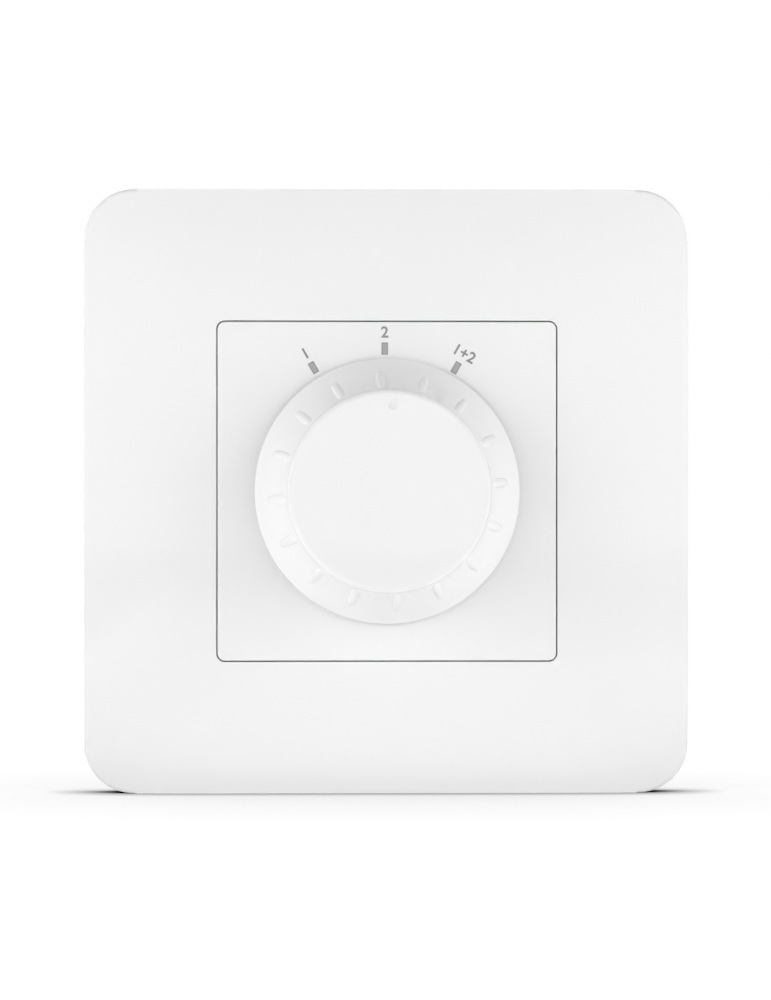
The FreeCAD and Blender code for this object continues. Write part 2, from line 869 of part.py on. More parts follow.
def make_switch_base():
    body = new_body("switch_base")
    head_front = base_back + S.switch_screw_head_height
    pad(body, "base_disc", disc(S.switch_radius), base_back, S.base_out)
    pad(body, "base_ears", discs(S.ear_radius, EAR_PLACES), head_front, S.base_out)
    pivot_depth = drive_back - S.pivot_length - 0.1
    pocket(
        body,
        "base_pivot_hole",
        disc(S.pivot_radius + S.running_play),
        pivot_depth,
        S.base_out,
    )
    pins = polar_places(S.contact_place, OUTER_ANGLES) + common_pin_places()
    pin_holes = discs(S.pin_radius + S.slip_play, pins)
    pocket(body, "base_pin_holes", pin_holes, base_back, S.base_out)
    ears = discs(S.switch_screw_radius + S.slip_play, EAR_PLACES)
    pocket(body, "base_screw_holes", ears, head_front, S.base_out)
    seats = discs(S.switch_screw_head_radius + S.slip_play, EAR_PLACES)
    pocket(body, "base_head_seats", seats, base_back, head_front)
    finish(body)


def make_fixed_contacts():
    pin_back = board_back - S.pin_tail
    items = []
    for i, (x, z) in enumerate(polar_places(S.contact_place, OUTER_ANGLES), start=1):
        face = make_rod(f"contact_face_{i}", S.contact_radius, S.base_out, contact_front, x, z)
        pin = make_rod(f"contact_pin_{i}", S.pin_radius, pin_back, S.base_out, x, z)
        items.append(fuse(f"contact_{i}", [face, pin]))
    finish(group("fixed_contacts", items))


def make_common_contacts():
    pin_back = board_back - S.pin_tail
    items = []
    for i, (angle, (x, z)) in enumerate(zip(QUARTER_TURNS, common_pin_places()), start=1):
        body = new_body(f"common_{i}")
        middle = 90 - angle
        draw = lambda sketch, a=middle: add_sector(
            sketch, S.common_inner, S.common_outer, a, S.common_arc.value
        )
        pad(body, f"common_track_{i}", draw, S.base_out, contact_front)
        pad(body, f"common_pin_{i}", disc(S.pin_radius, x, z), pin_back, S.base_out)
        items.append(body)
    finish(group("common_contacts", items))


def make_screw_with_head(name, x, z, radius, tip_out, head_radius, head_front, head_back):
    shank = make_rod(f"{name}_shank", radius, head_front, tip_out, x, z)
    head = make_rod(f"{name}_head", head_radius, head_back, head_front, x, z)
    arm = head_radius * 0.6
    half = radius * 0.3
    depth = head_back + (head_front - head_back) / 2
    bars = [
        make_box(f"{name}_cross_a", x - arm, x + arm, head_back, depth, z - half, z + half),
        make_box(f"{name}_cross_b", x - half, x + half, head_back, depth, z - arm, z + arm),
    ]
    whole = fuse(f"{name}_whole", [shank, head])
    return cut(name, whole, fuse(f"{name}_cross", bars))


def make_switch_screws():
    head_front = base_back + S.switch_screw_head_height
    tip = plate_back - 0.4
    items = [
        make_screw_with_head(
            f"switch_screw_{i}",
            size_of(x),
            size_of(z),
            S.switch_screw_radius,
            tip,
            S.switch_screw_head_radius,
            head_front,
            base_back,
        )
        for i, (x, z) in enumerate(EAR_PLACES, start=1)
    ]
    finish(group("switch_screws", items))


# circuit board


def make_circuit_board():
    body = rounded_square("circuit_board", board_size, S.plate_corner, board_back, base_back)
    pins = polar_places(S.contact_place, OUTER_ANGLES) + common_pin_places()
    pocket(body, "board_pin_holes", discs(S.pin_radius + 0.1, pins), board_back, base_back)
    holes = discs(S.board_screw_radius + 0.2, POST_PLACES)
    pocket(body, "board_screw_holes", holes, board_back, base_back)
    leg_z = block_middle() + S.bar_leg - S.bar_thickness / 2
    legs = []
    for way in WAYS:
        x = way_offset(way)
        legs += [(x, leg_z), (leg_z, -x), (-leg_z, x)]
    pocket(body, "board_leg_holes", discs(S.leg_pin_width / 2 + 0.2, legs), board_back, base_back)
    finish(body)


def make_board_screws():
    head_back = board_back - S.board_screw_head_height
    tip = base_back + S.board_screw_grip
    items = [
        make_screw_with_head(
            f"board_screw_{i}",
            x,
            z,
            S.board_screw_radius,
            tip,
            S.board_screw_head_radius,
            board_back,
            head_back,
        )
        for i, (x, z) in enumerate(POST_PLACES, start=1)
    ]
    finish(group("board_screws", items))


# screw terminals: drawn at the board's lower edge, then turned about the axis to their side


def block_middle():
    return -(board_size / 2 - S.block_width / 2)


def way_offset(way):
    return (way - 2.5) * S.way_pitch


def stands(height):
    """The place on the out scale of a height above the board's rear face."""
    return board_back - height


def pocket_from_below(body, name, x0, x1, out0, out1, z0, z1):
    """A square passage along Z, cut upwards from z0 to z1."""
    sketch = new_sketch(body, name, "XY_Plane", z0)
    add_rectangle(sketch, x0, x1, -size_of(out1), -size_of(out0))
    feature = raise_sketch(body, sketch, "PartDesign::Pocket", z1 - size_of(z0))
    feature.Reversed = True
    return feature


def make_terminal_housing(side, angle):
    name = f"{side}_terminal_housing"
    body = new_body(name)
    middle = block_middle()
    near = middle - S.block_width / 2
    far = middle + S.block_width / 2
    top = stands(S.block_height)
    half = S.block_length / 2
    pad(body, f"{side}_block", rectangle(-half, half, near, far), top, board_back)
    room_half = S.cage_width / 2 + S.cage_play
    room_near = middle - S.cage_length / 2 - S.cage_play
    room_far = middle + S.cage_length / 2 + S.cage_play
    bore_far = middle + S.bar_leg + S.touch_play
    cage_top = S.cage_start + S.cage_height + S.cage_travel + S.cage_play
    head_top = S.block_height - S.block_top_wall
    head_radius = S.screw_head_radius + S.touch_play
    bar_half = S.bar_width / 2 + S.touch_play
    bar_top = S.bar_start + S.bar_thickness + S.touch_play
    for way in WAYS:
        x = way_offset(way)
        tag = f"{side}_way_{way}"
        room = rectangle(x - room_half, x + room_half, room_near, room_far)
        pocket(body, f"{tag}_room", room, stands(cage_top), board_back)
        leg = rectangle(x - bar_half, x + bar_half, middle, bore_far)
        pocket(body, f"{tag}_leg_room", leg, stands(bar_top), board_back)
        tip = rectangle(x - bar_half, x + bar_half, middle - S.bar_tip - S.touch_play, middle)
        pocket(
            body,
            f"{tag}_tip_room",
            tip,
            stands(bar_top),
            stands(S.bar_start - S.touch_play),
        )
        pocket(
            body, f"{tag}_head_room", disc(head_radius, x, middle), stands(head_top), board_back
        )
        pocket(
            body, f"{tag}_driver_hole", disc(S.driver_hole_radius, x, middle), top, board_back
        )
        entry_half = S.wire_entry_width / 2
        pocket_from_below(
            body,
            f"{tag}_wire_entry",
            x - entry_half,
            x + entry_half,
            stands(S.wire_entry_start + S.wire_entry_height),
            stands(S.wire_entry_start),
            near,
            middle,
        )
    finish(body, angle)


def make_terminal_pins(side, angle):
    middle = block_middle()
    leg_far = middle + S.bar_leg
    leg_near = leg_far - S.bar_thickness
    half = S.bar_width / 2
    pin_half = S.leg_pin_width / 2
    items = []
    for way in WAYS:
        x = way_offset(way)
        tag = f"{side}_pin_{way}"
        bar_top = stands(S.bar_start + S.bar_thickness)
        bar = make_box(
            f"{tag}_bar",
            x - half,
            x + half,
            bar_top,
            stands(S.bar_start),
            middle - S.bar_tip,
            leg_far,
        )
        leg = make_box(
            f"{tag}_leg", x - half, x + half, bar_top, board_back, leg_near, leg_far
        )
        tail = make_box(
            f"{tag}_tail",
            x - pin_half,
            x + pin_half,
            board_back,
            board_back + S.leg_pin_length,
            leg_near,
            leg_far,
        )
        items.append(fuse(tag, [bar, leg, tail]))
    finish(group(f"{side}_terminal_pins", items), angle)


def make_terminal_screw(side, way, angle):
    x, z = way_offset(way), block_middle()
    name = f"{side}_screw_{way}"
    head_back = stands(S.block_height - S.block_top_wall - S.touch_play)
    head_front = head_back + S.screw_head_height
    tip = stands(S.bar_start + S.bar_thickness + S.touch_play)
    shank = make_rod(f"{name}_shank", S.screw_radius, head_front, tip, x, z)
    head = make_rod(f"{name}_head", S.screw_head_radius, head_back, head_front, x, z)
    half = S.screw_slot / 2
    slot = make_box(
        f"{name}_slot",
        x - S.screw_head_radius,
        x + S.screw_head_radius,
        head_back,
        head_back + S.screw_head_height / 2,
        z - half,
        z + half,
    )
    whole = fuse(f"{name}_whole", [head, shank])
    finish(cut(name, whole, slot), angle)


def make_terminal_cage(side, way, angle):
    x, middle = way_offset(way), block_middle()
    body = new_body(f"{side}_cage_{way}")
    half = S.cage_width / 2
    near = middle - S.cage_length / 2
    far = middle + S.cage_length / 2
    top = stands(S.cage_start + S.cage_height)
    bottom = stands(S.cage_start)
    block = rectangle(x - half, x + half, near, far)
    pad(body, f"{side}_cage_block_{way}", block, top, bottom)
    inner = half - S.cage_wall
    pocket_from_below(
        body,
        f"{side}_cage_window_{way}",
        x - inner,
        x + inner,
        top + S.cage_top_wall,
        bottom - S.cage_top_wall,
        near,
        far,
    )
    thread = disc(S.screw_radius + S.slip_play, x, middle)
    pocket(body, f"{side}_cage_thread_{way}", thread, top, top + S.cage_top_wall)
    finish(body, angle)


# knob


def turn_knob_profile(body):
    """The knob's turned outline: hollow behind, with a boss, and a flare curved inwards."""
    back = S.face_out + S.knob_play
    front = back + S.knob_height
    ceiling = front - S.knob_wall
    rim = back + S.knob_rim
    inner_top = S.knob_top_radius - S.knob_wall - 0.1
    inner_base = S.knob_base_radius - S.knob_wall
    points = [
        (size_of(0.0), S.boss_out),
        (S.boss_radius, S.boss_out),
        (S.boss_radius, ceiling),
        (inner_top, ceiling),
        (inner_base, back),
        (S.knob_base_radius, back),
        (S.knob_base_radius, rim),
        (S.knob_top_radius, front),
        (size_of(0.0), front),
    ]
    sketch = new_sketch(body, "knob_profile", "XY_Plane")
    corners = [FreeCAD.Vector(r.value, -out.value, 0) for r, out in points]
    flare = 6
    start, end = corners[flare], corners[flare + 1]
    chord = end - start
    depth = math.sqrt(S.flare_radius.value**2 - (chord.Length / 2) ** 2)
    sideways = FreeCAD.Vector(chord.y, -chord.x, 0).normalize()
    if sideways.x < 0:
        sideways = -sideways
    centre = (start + end) / 2 + sideways * depth
    middle = centre - sideways * S.flare_radius.value
    count = len(points)
    backwards = False
    for i in range(count):
        if i == flare:
            arc = Part.Arc(start, middle, end)
            edge = sketch.addGeometry(arc)
            backwards = sketch.Geometry[edge].StartPoint.distanceToPoint(start) > 1e-6
        else:
            sketch.addGeometry(Part.LineSegment(corners[i], corners[(i + 1) % count]))
    arc_start, arc_end = (2, 1) if backwards else (1, 2)
    for i in range(count):
        following = (i + 1) % count
        end_here = arc_end if i == flare else 2
        start_there = arc_start if following == flare else 1
        sketch.addConstraint(Sketcher.Constraint("Coincident", i, end_here, following, start_there))
    for i, (r, out) in enumerate(points):
        pin_point(sketch, i, arc_start if i == flare else 1, r, -out)
    constrain(sketch, "Radius", flare, S.flare_radius)
    feature = body.newObject("PartDesign::Revolution", "knob_turned")
    feature.Profile = sketch
    feature.ReferenceAxis = (sketch, ["V_Axis"])
    feature.Angle = 360
    sketch.Visibility = False
    return centre


def flare_out(centre, radius):
    """How far out the flare's surface is at that radius from the axis."""
    across = centre.x - radius
    return -centre.y - math.sqrt(S.flare_radius.value**2 - across**2)


def make_ribs(flare_centre):
    """Half-round grip ribs laid along the flare, sunk so that they stand a little proud."""
    inner, outer = S.rib_inner.value, S.rib_outer.value
    inner_out, outer_out = flare_out(flare_centre, inner), flare_out(flare_centre, outer)
    along = FreeCAD.Vector(outer - inner, inner_out - outer_out, 0)
    normal = FreeCAD.Vector(inner_out - outer_out, inner - outer, 0)
    normal.normalize()
    sink = S.rib_radius.value - S.rib_proud.value
    start = FreeCAD.Vector(inner, -inner_out, 0) - normal * sink
    start = start if normal.x > 0 else start + normal * 2 * sink
    bar = Part.makeCylinder(S.rib_radius.value, along.Length, start, along)
    ends = [Part.makeSphere(S.rib_radius.value, p) for p in (start, start + along)]
    rib = bar.fuse(ends)
    count = int(S.rib_count.value)
    ribs = []
    for i in range(count):
        copy = rib.copy()
        angle = S.rib_first_angle.value + i * 360 / count - 90
        copy.rotate(FreeCAD.Vector(), Y_AXIS, angle)
        ribs.append(copy)
    item = doc.addObject("Part::Feature", "knob_ribs")
    item.Shape = Part.Compound(ribs)
    return item


def make_knob():
    body = new_body("knob_body")
    front = S.face_out + S.knob_play + S.knob_height
    flare_centre = turn_knob_profile(body)

    def is_face_edge(edge):
        on_face = all(abs(v.Point.y + front.value) < 1e-6 for v in edge.Vertexes)
        return on_face and edge.Curve.TypeId == "Part::GeomCircle"

    round_edges(body, "knob_edge", S.knob_edge_round, is_face_edge)
    bore = lambda sketch: add_flatted_circle(
        sketch,
        S.shaft_radius + S.slip_play,
        S.shaft_flat + S.clip_thickness + 2 * S.slip_play,
        False,
    )
    pocket(body, "knob_bore", bore, S.boss_out, S.shaft_front_out + 0.2)
    ball = doc.addObject("Part::Sphere", "pointer_ball")
    ball_radius = (S.pointer_radius.value**2 + S.pointer_depth.value**2) / (
        2 * S.pointer_depth.value
    )
    turn_angle = math.radians(S.pointer_angle.value)
    bind(ball, "Radius", ball_radius)
    ball.Placement = FreeCAD.Placement()
    bind(ball, "Placement.Base.x", S.pointer_place * math.sin(turn_angle))
    bind(ball, "Placement.Base.y", -(front + ball_radius - S.pointer_depth))
    bind(ball, "Placement.Base.z", S.pointer_place * math.cos(turn_angle))
    ribbed = fuse("knob_ribbed", [body, make_ribs(flare_centre)])
    finish(cut("knob", ribbed, ball))


def make_knob_clip():
    top = -S.shaft_flat - S.slip_play
    half = S.clip_width / 2
    back = S.boss_out + 0.2
    finish(
        make_box(
            "knob_clip", -half, half, back, back + S.clip_length, top - S.clip_thickness, top
        )
    )


def check_model():
    doc.recompute()
    broken = [o.Name for o in doc.Objects if "Invalid" in o.State or "Error" in o.State]
    if broken:
        raise RuntimeError(f"these objects failed: {broken}")
    for item in parts:
        if item.Shape.isNull() or not item.Shape.isValid():
            raise RuntimeError(f"{item.Label} has no valid shape")


def write_parts():
    os.makedirs("parts", exist_ok=True)
    for item in parts:
        item.Shape.exportStep(f"parts/{item.Label}.step")


def main():
    make_cover_frame()
    make_centre_plate()
    make_support_frame()
    make_switch_cover()
    make_lock_washer()
    make_hex_nut()
    make_switch_shaft()
    make_shaft_circlip()
    make_detent_wheel()
    make_detent_springs()
    make_switch_housing()
    make_contact_rotor()
    make_wiper_contacts()
    make_switch_base()
    make_fixed_contacts()
    make_common_contacts()
    make_switch_screws()
    make_circuit_board()
    make_board_screws()
    make_knob()
    make_knob_clip()
    for side, angle in BLOCK_TURNS.items():
        make_terminal_housing(side, angle)
        make_terminal_pins(side, angle)
        for way in WAYS:
            make_terminal_screw(side, way, angle)
            make_terminal_cage(side, way, angle)
    check_model()
    write_parts()
    for item in parts:
        shape = item.Shape
        print(f"{item.Label}: {len(shape.Solids)} solids, {shape.Volume:.1f} mm3")


main()
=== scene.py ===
import math
import bmesh
import bpy
from mathutils import Matrix, Vector


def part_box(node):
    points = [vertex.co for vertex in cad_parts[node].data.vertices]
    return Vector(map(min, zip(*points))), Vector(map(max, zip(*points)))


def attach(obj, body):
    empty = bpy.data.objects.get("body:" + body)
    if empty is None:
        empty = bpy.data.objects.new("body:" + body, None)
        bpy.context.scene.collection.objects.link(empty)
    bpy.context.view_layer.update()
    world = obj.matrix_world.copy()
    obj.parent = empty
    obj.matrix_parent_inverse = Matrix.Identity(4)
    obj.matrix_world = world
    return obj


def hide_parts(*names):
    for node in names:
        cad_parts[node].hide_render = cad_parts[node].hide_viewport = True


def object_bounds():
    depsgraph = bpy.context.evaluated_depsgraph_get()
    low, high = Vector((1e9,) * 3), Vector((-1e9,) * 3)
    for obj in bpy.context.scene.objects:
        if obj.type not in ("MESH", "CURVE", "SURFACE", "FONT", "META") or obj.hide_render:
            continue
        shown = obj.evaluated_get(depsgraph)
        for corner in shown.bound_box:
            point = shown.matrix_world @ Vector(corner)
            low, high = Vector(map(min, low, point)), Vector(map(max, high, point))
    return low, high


bl_info = {
    "name": "Speaker selector wall plate",
    "version": (1, 0, 0),
    "blender": (4, 5, 0),
    "location": "View3D > Sidebar > Selector",
    "description": "Dresses a flush speaker selector with a flared knob",
    "category": "Object",
}

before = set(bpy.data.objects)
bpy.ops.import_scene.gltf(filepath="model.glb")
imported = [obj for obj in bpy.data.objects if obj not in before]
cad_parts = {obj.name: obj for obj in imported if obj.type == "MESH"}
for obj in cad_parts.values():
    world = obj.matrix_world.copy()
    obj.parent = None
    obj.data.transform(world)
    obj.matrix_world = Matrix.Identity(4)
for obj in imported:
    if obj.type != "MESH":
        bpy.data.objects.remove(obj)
CAD_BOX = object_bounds()

MM = 0.001
BLOCKS = {"input": 0.0, "output_1": 90.0, "output_2": -90.0}
WAYS = (1, 2, 3, 4)
STEEL_SCREWS = ["board_screws", "switch_screws", "lock_washer"]
STEEL_SCREWS += [f"{side}_screw_{way}" for side in BLOCKS for way in WAYS]
NICKEL_PIECES = ["hex_nut", "switch_shaft"]
NICKEL_PIECES += [f"{side}_cage_{way}" for side in BLOCKS for way in WAYS]
NICKEL_PIECES += [f"{side}_terminal_pins" for side in BLOCKS]


def linear(code):
    """The linear colour of an sRGB hex code."""
    parts = [int(code[i : i + 2], 16) / 255 for i in (0, 2, 4)]
    return tuple(c / 12.92 if c <= 0.04045 else ((c + 0.055) / 1.055) ** 2.4 for c in parts)


def colour_prop(name, code, description):
    return bpy.props.FloatVectorProperty(
        name=name, description=description, default=linear(code), subtype="COLOR", min=0, max=1
    )


def length_prop(name, millimetres, description):
    return bpy.props.FloatProperty(
        name=name, description=description, default=millimetres * MM, unit="LENGTH", precision=5
    )


class SelectorSizes(bpy.types.PropertyGroup):
    flat_half: length_prop("Flat half width", 23.0, "Half width of the frame's flat middle")
    curve_radius: length_prop("Face curve", 90.0, "Radius of the frame's face towards its edges")
    frame_corner: length_prop("Frame corner", 6.5, "Radius of the frame's outer corners")
    frame_wall: length_prop("Frame wall", 2.0, "Wall thickness of the frame")
    frame_edge: length_prop("Frame edge", 0.8, "Rounding of the frame's outer front edge")
    opening_half: length_prop("Opening half width", 22.55, "Half width of the frame's opening")
    opening_corner: length_prop("Opening corner", 1.15, "Radius of the opening's corners")
    opening_edge: length_prop("Opening edge", 0.12, "Rounding of the opening's front edge")
    arm_x: length_prop("Arm place across", 26.5, "How far a snap-in arm lies to the side")
    arm_z: length_prop("Arm place upright", 12.0, "How far a snap-in arm lies up or down")
    arm_thickness: length_prop("Arm thickness", 1.2, "Thickness of a snap-in arm")
    arm_width: length_prop("Arm width", 5.0, "Width of a snap-in arm")
    arm_sink: length_prop("Arm sink", 1.5, "How far behind the frame's face an arm starts")
    arm_end: length_prop("Arm end", 1.5, "How far into the wall an arm goes")
    arm_edge: length_prop("Arm edge", 0.1, "Rounding of an arm's edges")
    hook_start: length_prop("Hook start", 0.05, "How far into the wall a hook starts")
    hook_reach: length_prop("Hook reach", 0.9, "How far a hook stands out of its arm")
    plate_edge: length_prop("Plate edge", 0.22, "Rounding of the centre plate's front edge")
    flare_radius: length_prop("Flare radius", 22.0, "Radius of the knob's hollow flare")
    knob_top: length_prop("Knob face radius", 13.1, "Radius of the knob's front face")
    knob_rim: length_prop("Knob rim", 0.5, "Height of the straight rim at the knob's base")
    knob_edge: length_prop("Knob edge", 0.75, "Rounding of the knob's front edge")
    knob_wall: length_prop("Knob wall", 1.8, "Wall thickness of the knob")
    boss_radius: length_prop("Boss radius", 5.0, "Radius of the boss inside the knob")
    boss_start: length_prop("Boss start", 13.6, "Distance of the boss's end from the wall")
    bore_radius: length_prop("Bore radius", 3.02, "Radius of the boss's bore")
    bore_end: length_prop("Bore end", 18.2, "Distance of the bore's end from the wall")
    rib_radius: length_prop("Rib radius", 0.9, "Radius of a grip rib's rounding")
    rib_proud: length_prop("Rib height", 0.16, "How far a grip rib stands out of the flare")
    rib_inner: length_prop("Rib inner end", 13.75, "Distance of a rib's front end from the axis")
    rib_outer: length_prop("Rib outer end", 15.6, "Distance of a rib's rear end from the axis")
    dimple_place: length_prop("Pointer place", 11.4, "Distance of the pointer dimple from the axis")
    dimple_radius: length_prop("Pointer radius", 0.8, "Radius of the pointer dimple")
    dimple_depth: length_prop("Pointer depth", 0.4, "Depth of the pointer dimple")
    mark_place: length_prop("Mark place", 18.85, "Distance of the marks from the axis")
    mark_length: length_prop("Mark length", 1.6, "Length of a mark")
    mark_width: length_prop("Mark width", 0.85, "Width of a mark")
    caption_place: length_prop("Caption place", 20.95, "Distance of the numbers from the axis")
    caption_size: length_prop("Caption size", 2.05, "Type size of the numbers")
    caption_bold: length_prop("Caption weight", 0.045, "Extra stroke width of the numbers")
    mark_line: length_prop("Mark outline", 0.13, "Width of a mark's outline")
    legend_shift: length_prop("Legend shift", -0.3, "How far left the print sits of the axis")
    camera_distance: length_prop("Camera distance", 700.0, "Camera distance from the knob")
    picture_height: length_prop("Picture height", 132.15, "Height of the picture at the plate")


class SelectorColours(bpy.types.PropertyGroup):
    white: colour_prop("White moulding", "f4f4f4", "Glossy white plastic")
    print_grey: colour_prop("Print", "8e8e8e", "Grey pad print")
    print_light: colour_prop("Light print", "c6c6c6", "Light grey between the marks' hatching")
    zinc: colour_prop("Zinc", "a9adb0", "Zinc-plated sheet")
    steel: colour_prop("Steel", "c4c6c8", "Bright plated steel")
    nickel: colour_prop("Nickel", "c9c2b2", "Nickel-plated brass")
    spring: colour_prop("Spring", "5d6470", "Blued spring steel")
    casting: colour_prop("Casting", "9b9c9d", "Die-cast metal")
    black: colour_prop("Black moulding", "1b1b1c", "Black plastic")
    nylon: colour_prop("Nylon", "dcd6c4", "Natural nylon")
    silver: colour_prop("Contacts", "d8d5cd", "Silver-plated brass")
    mask: colour_prop("Solder mask", "0f5a2c", "Green solder mask")
    solder: colour_prop("Solder", "b9bcc0", "Tin solder")
    terminal: colour_prop("Terminals", "3a3d40", "Dark grey polyamide")


# materials


def add_node(tree, kind, settings=None, inputs=None):
    """Add a node, set its properties, and fill its inputs with values or with other sockets."""
    node = tree.nodes.new(kind)
    for name, value in (settings or {}).items():
        setattr(node, name, value)
    for name, value in (inputs or {}).items():
        if isinstance(value, bpy.types.NodeSocket):
            tree.links.new(value, node.inputs[name])
        else:
            node.inputs[name].default_value = value
    return node


def start_material(name, colour, roughness, metallic=0.0, ior=1.5):
    material = bpy.data.materials.new(name)
    material.use_nodes = True
    tree = material.node_tree
    tree.nodes.clear()
    inputs = {"Base Color": (*colour, 1), "Roughness": roughness, "Metallic": metallic}
    if not metallic:
        inputs["IOR"] = ior
    shader = add_node(tree, "ShaderNodeBsdfPrincipled", inputs=inputs)
    output = add_node(tree, "ShaderNodeOutputMaterial")
    tree.links.new(shader.outputs["BSDF"], output.inputs["Surface"])
    where = add_node(tree, "ShaderNodeTexCoord").outputs["Object"]
    return material, tree, shader, where


def vary(tree, shader, where, grain, colours, roughness, bump, stretch=(1, 1, 1)):
    """Vary colour, roughness and relief with a noise whose grain is a size in metres."""
    spread = add_node(tree, "ShaderNodeMapping", inputs={"Vector": where, "Scale": stretch})
    noise = add_node(
        tree,
        "ShaderNodeTexNoise",
        inputs={"Vector": spread.outputs["Vector"], "Scale": 1 / grain, "Detail": 3.0},
    )
    amount = noise.outputs["Fac"]
    tint = add_node(tree, "ShaderNodeMix", {"data_type": "RGBA"}, {0: amount})
    tint.inputs[6].default_value = (*colours[0], 1)
    tint.inputs[7].default_value = (*colours[1], 1)
    tree.links.new(tint.outputs[2], shader.inputs["Base Color"])
    rough = add_node(
        tree,
        "ShaderNodeMapRange",
        inputs={"Value": amount, "To Min": roughness[0], "To Max": roughness[1]},
    )
    tree.links.new(rough.outputs["Result"], shader.inputs["Roughness"])
    if bump:
        relief = add_node(
            tree,
            "ShaderNodeBump",
            inputs={"Height": amount, "Strength": 0.3, "Distance": bump},
        )
        tree.links.new(relief.outputs["Normal"], shader.inputs["Normal"])


def shade_of(colour, factor):
    return tuple(min(1.0, c * factor) for c in colour)


def gloss_white_urea(colours):
    # Polished moulding in white urea resin: a clear sharp gloss, with the faintest waviness.
    material, tree, shader, where = start_material("gloss_white_urea", colours.white, 0.03, ior=1.52)
    tones = (shade_of(colours.white, 0.992), colours.white)
    vary(tree, shader, where, 9 * MM, tones, (0.02, 0.045), 0.003 * MM)
    return material


def grey_pad_print(colours):
    # Thin pad-printed ink: matt grey, a little uneven where the pad let go.
    material, tree, shader, where = start_material("grey_pad_print", colours.print_grey, 0.5)
    tones = (shade_of(colours.print_grey, 0.85), shade_of(colours.print_grey, 1.15))
    vary(tree, shader, where, 0.25 * MM, tones, (0.4, 0.6), 0)
    return material


def hatched_pad_print(colours):
    # The marks' fill: fine slanting lines of the same ink, pale between them.
    material, tree, shader, where = start_material("hatched_pad_print", colours.print_light, 0.5)
    pitch = 0.22 * MM
    lines = add_node(
        tree,
        "ShaderNodeTexWave",
        {"bands_direction": "DIAGONAL"},
        {"Vector": where, "Scale": 0.44 / pitch},
    )
    tint = add_node(tree, "ShaderNodeMix", {"data_type": "RGBA"}, {0: lines.outputs["Fac"]})
    tint.inputs[6].default_value = (*colours.print_grey, 1)
    tint.inputs[7].default_value = (*colours.print_light, 1)
    tree.links.new(tint.outputs[2], shader.inputs["Base Color"])
    return material


def zinc_plated_sheet(colours):
    # Zinc-plated pressed sheet: cool grey with fine rolling lines and cloudy patches.
    material, tree, shader, where = start_material("zinc_plated_sheet", colours.zinc, 0.4, 1.0)
    tones = (shade_of(colours.zinc, 0.8), shade_of(colours.zinc, 1.08))
    vary(tree, shader, where, 6 * MM, tones, (0.28, 0.45), 0.01 * MM, (1, 1, 12))
    return material


def bright_plated_steel(colours):
    # Bright zinc-plated steel: mirror-like with light handling marks.
    material, tree, shader, where = start_material("bright_plated_steel", colours.steel, 0.22, 1.0)
    tones = (shade_of(colours.steel, 0.85), colours.steel)
    vary(tree, shader, where, 0.8 * MM, tones, (0.16, 0.3), 0.004 * MM)
    return material


def nickel_plated_brass(colours):
    # Nickel over turned brass: warm silver with fine turning marks.
    material, tree, shader, where = start_material("nickel_plated_brass", colours.nickel, 0.25, 1.0)
    tones = (shade_of(colours.nickel, 0.86), colours.nickel)
    vary(tree, shader, where, 0.5 * MM, tones, (0.18, 0.32), 0.003 * MM, (1, 8, 1))
    return material


def blued_spring_steel(colours):
    # Tempered strip: dark blue-grey with a straw tinge here and there.
    material, tree, shader, where = start_material("blued_spring_steel", colours.spring, 0.3, 1.0)
    tones = (colours.spring, shade_of(colours.nickel, 0.6))
    vary(tree, shader, where, 2 * MM, tones, (0.22, 0.38), 0)
    return material


def die_cast_metal(colours):
    # Zinc die casting, as cast: soft dull grey with a fine pebbly skin.
    material, tree, shader, where = start_material("die_cast_metal", colours.casting, 0.5, 1.0)
    tones = (shade_of(colours.casting, 0.82), shade_of(colours.casting, 1.06))
    vary(tree, shader, where, 0.4 * MM, tones, (0.42, 0.6), 0.02 * MM)
    return material


def black_phenolic(colours):
    # Moulded black phenolic: nearly matt with a fine grain from its filler.
    material, tree, shader, where = start_material("black_phenolic", colours.black, 0.5)
    tones = (shade_of(colours.black, 0.7), shade_of(colours.black, 1.5))
    vary(tree, shader, where, 0.3 * MM, tones, (0.4, 0.58), 0.01 * MM)
    return material


def natural_nylon(colours):
    # Unpigmented nylon: milky, slightly warm and half matt.
    material, tree, shader, where = start_material("natural_nylon", colours.nylon, 0.4, ior=1.53)
    tones = (shade_of(colours.nylon, 0.93), colours.nylon)
    vary(tree, shader, where, 3 * MM, tones, (0.35, 0.48), 0.005 * MM)
    return material


def silver_plated_brass(colours):
    # Silver flash on brass: pale, with light tarnish.
    material, tree, shader, where = start_material("silver_plated_brass", colours.silver, 0.3, 1.0)
    tones = (shade_of(colours.silver, 0.7), colours.silver)
    vary(tree, shader, where, 1.2 * MM, tones, (0.24, 0.4), 0)
    return material


def green_solder_mask(colours):
    # Lacquered glass-fibre laminate: the weave shows faintly through glossy green lacquer.
    material, tree, shader, where = start_material("green_solder_mask", colours.mask, 0.25)
    weave = 0.5 * MM
    warp, weft = (
        add_node(
            tree,
            "ShaderNodeTexWave",
            {"bands_direction": direction},
            {"Vector": where, "Scale": 0.314 / weave, "Distortion": 0.3},
        )
        for direction in "XZ"
    )
    cloth = add_node(
        tree,
        "ShaderNodeMath",
        {"operation": "MULTIPLY"},
        {0: warp.outputs["Fac"], 1: weft.outputs["Fac"]},
    )
    tint = add_node(tree, "ShaderNodeMix", {"data_type": "RGBA"}, {0: cloth.outputs[0]})
    tint.inputs[6].default_value = (*shade_of(colours.mask, 0.8), 1)
    tint.inputs[7].default_value = (*shade_of(colours.mask, 1.15), 1)
    tree.links.new(tint.outputs[2], shader.inputs["Base Color"])
    return material


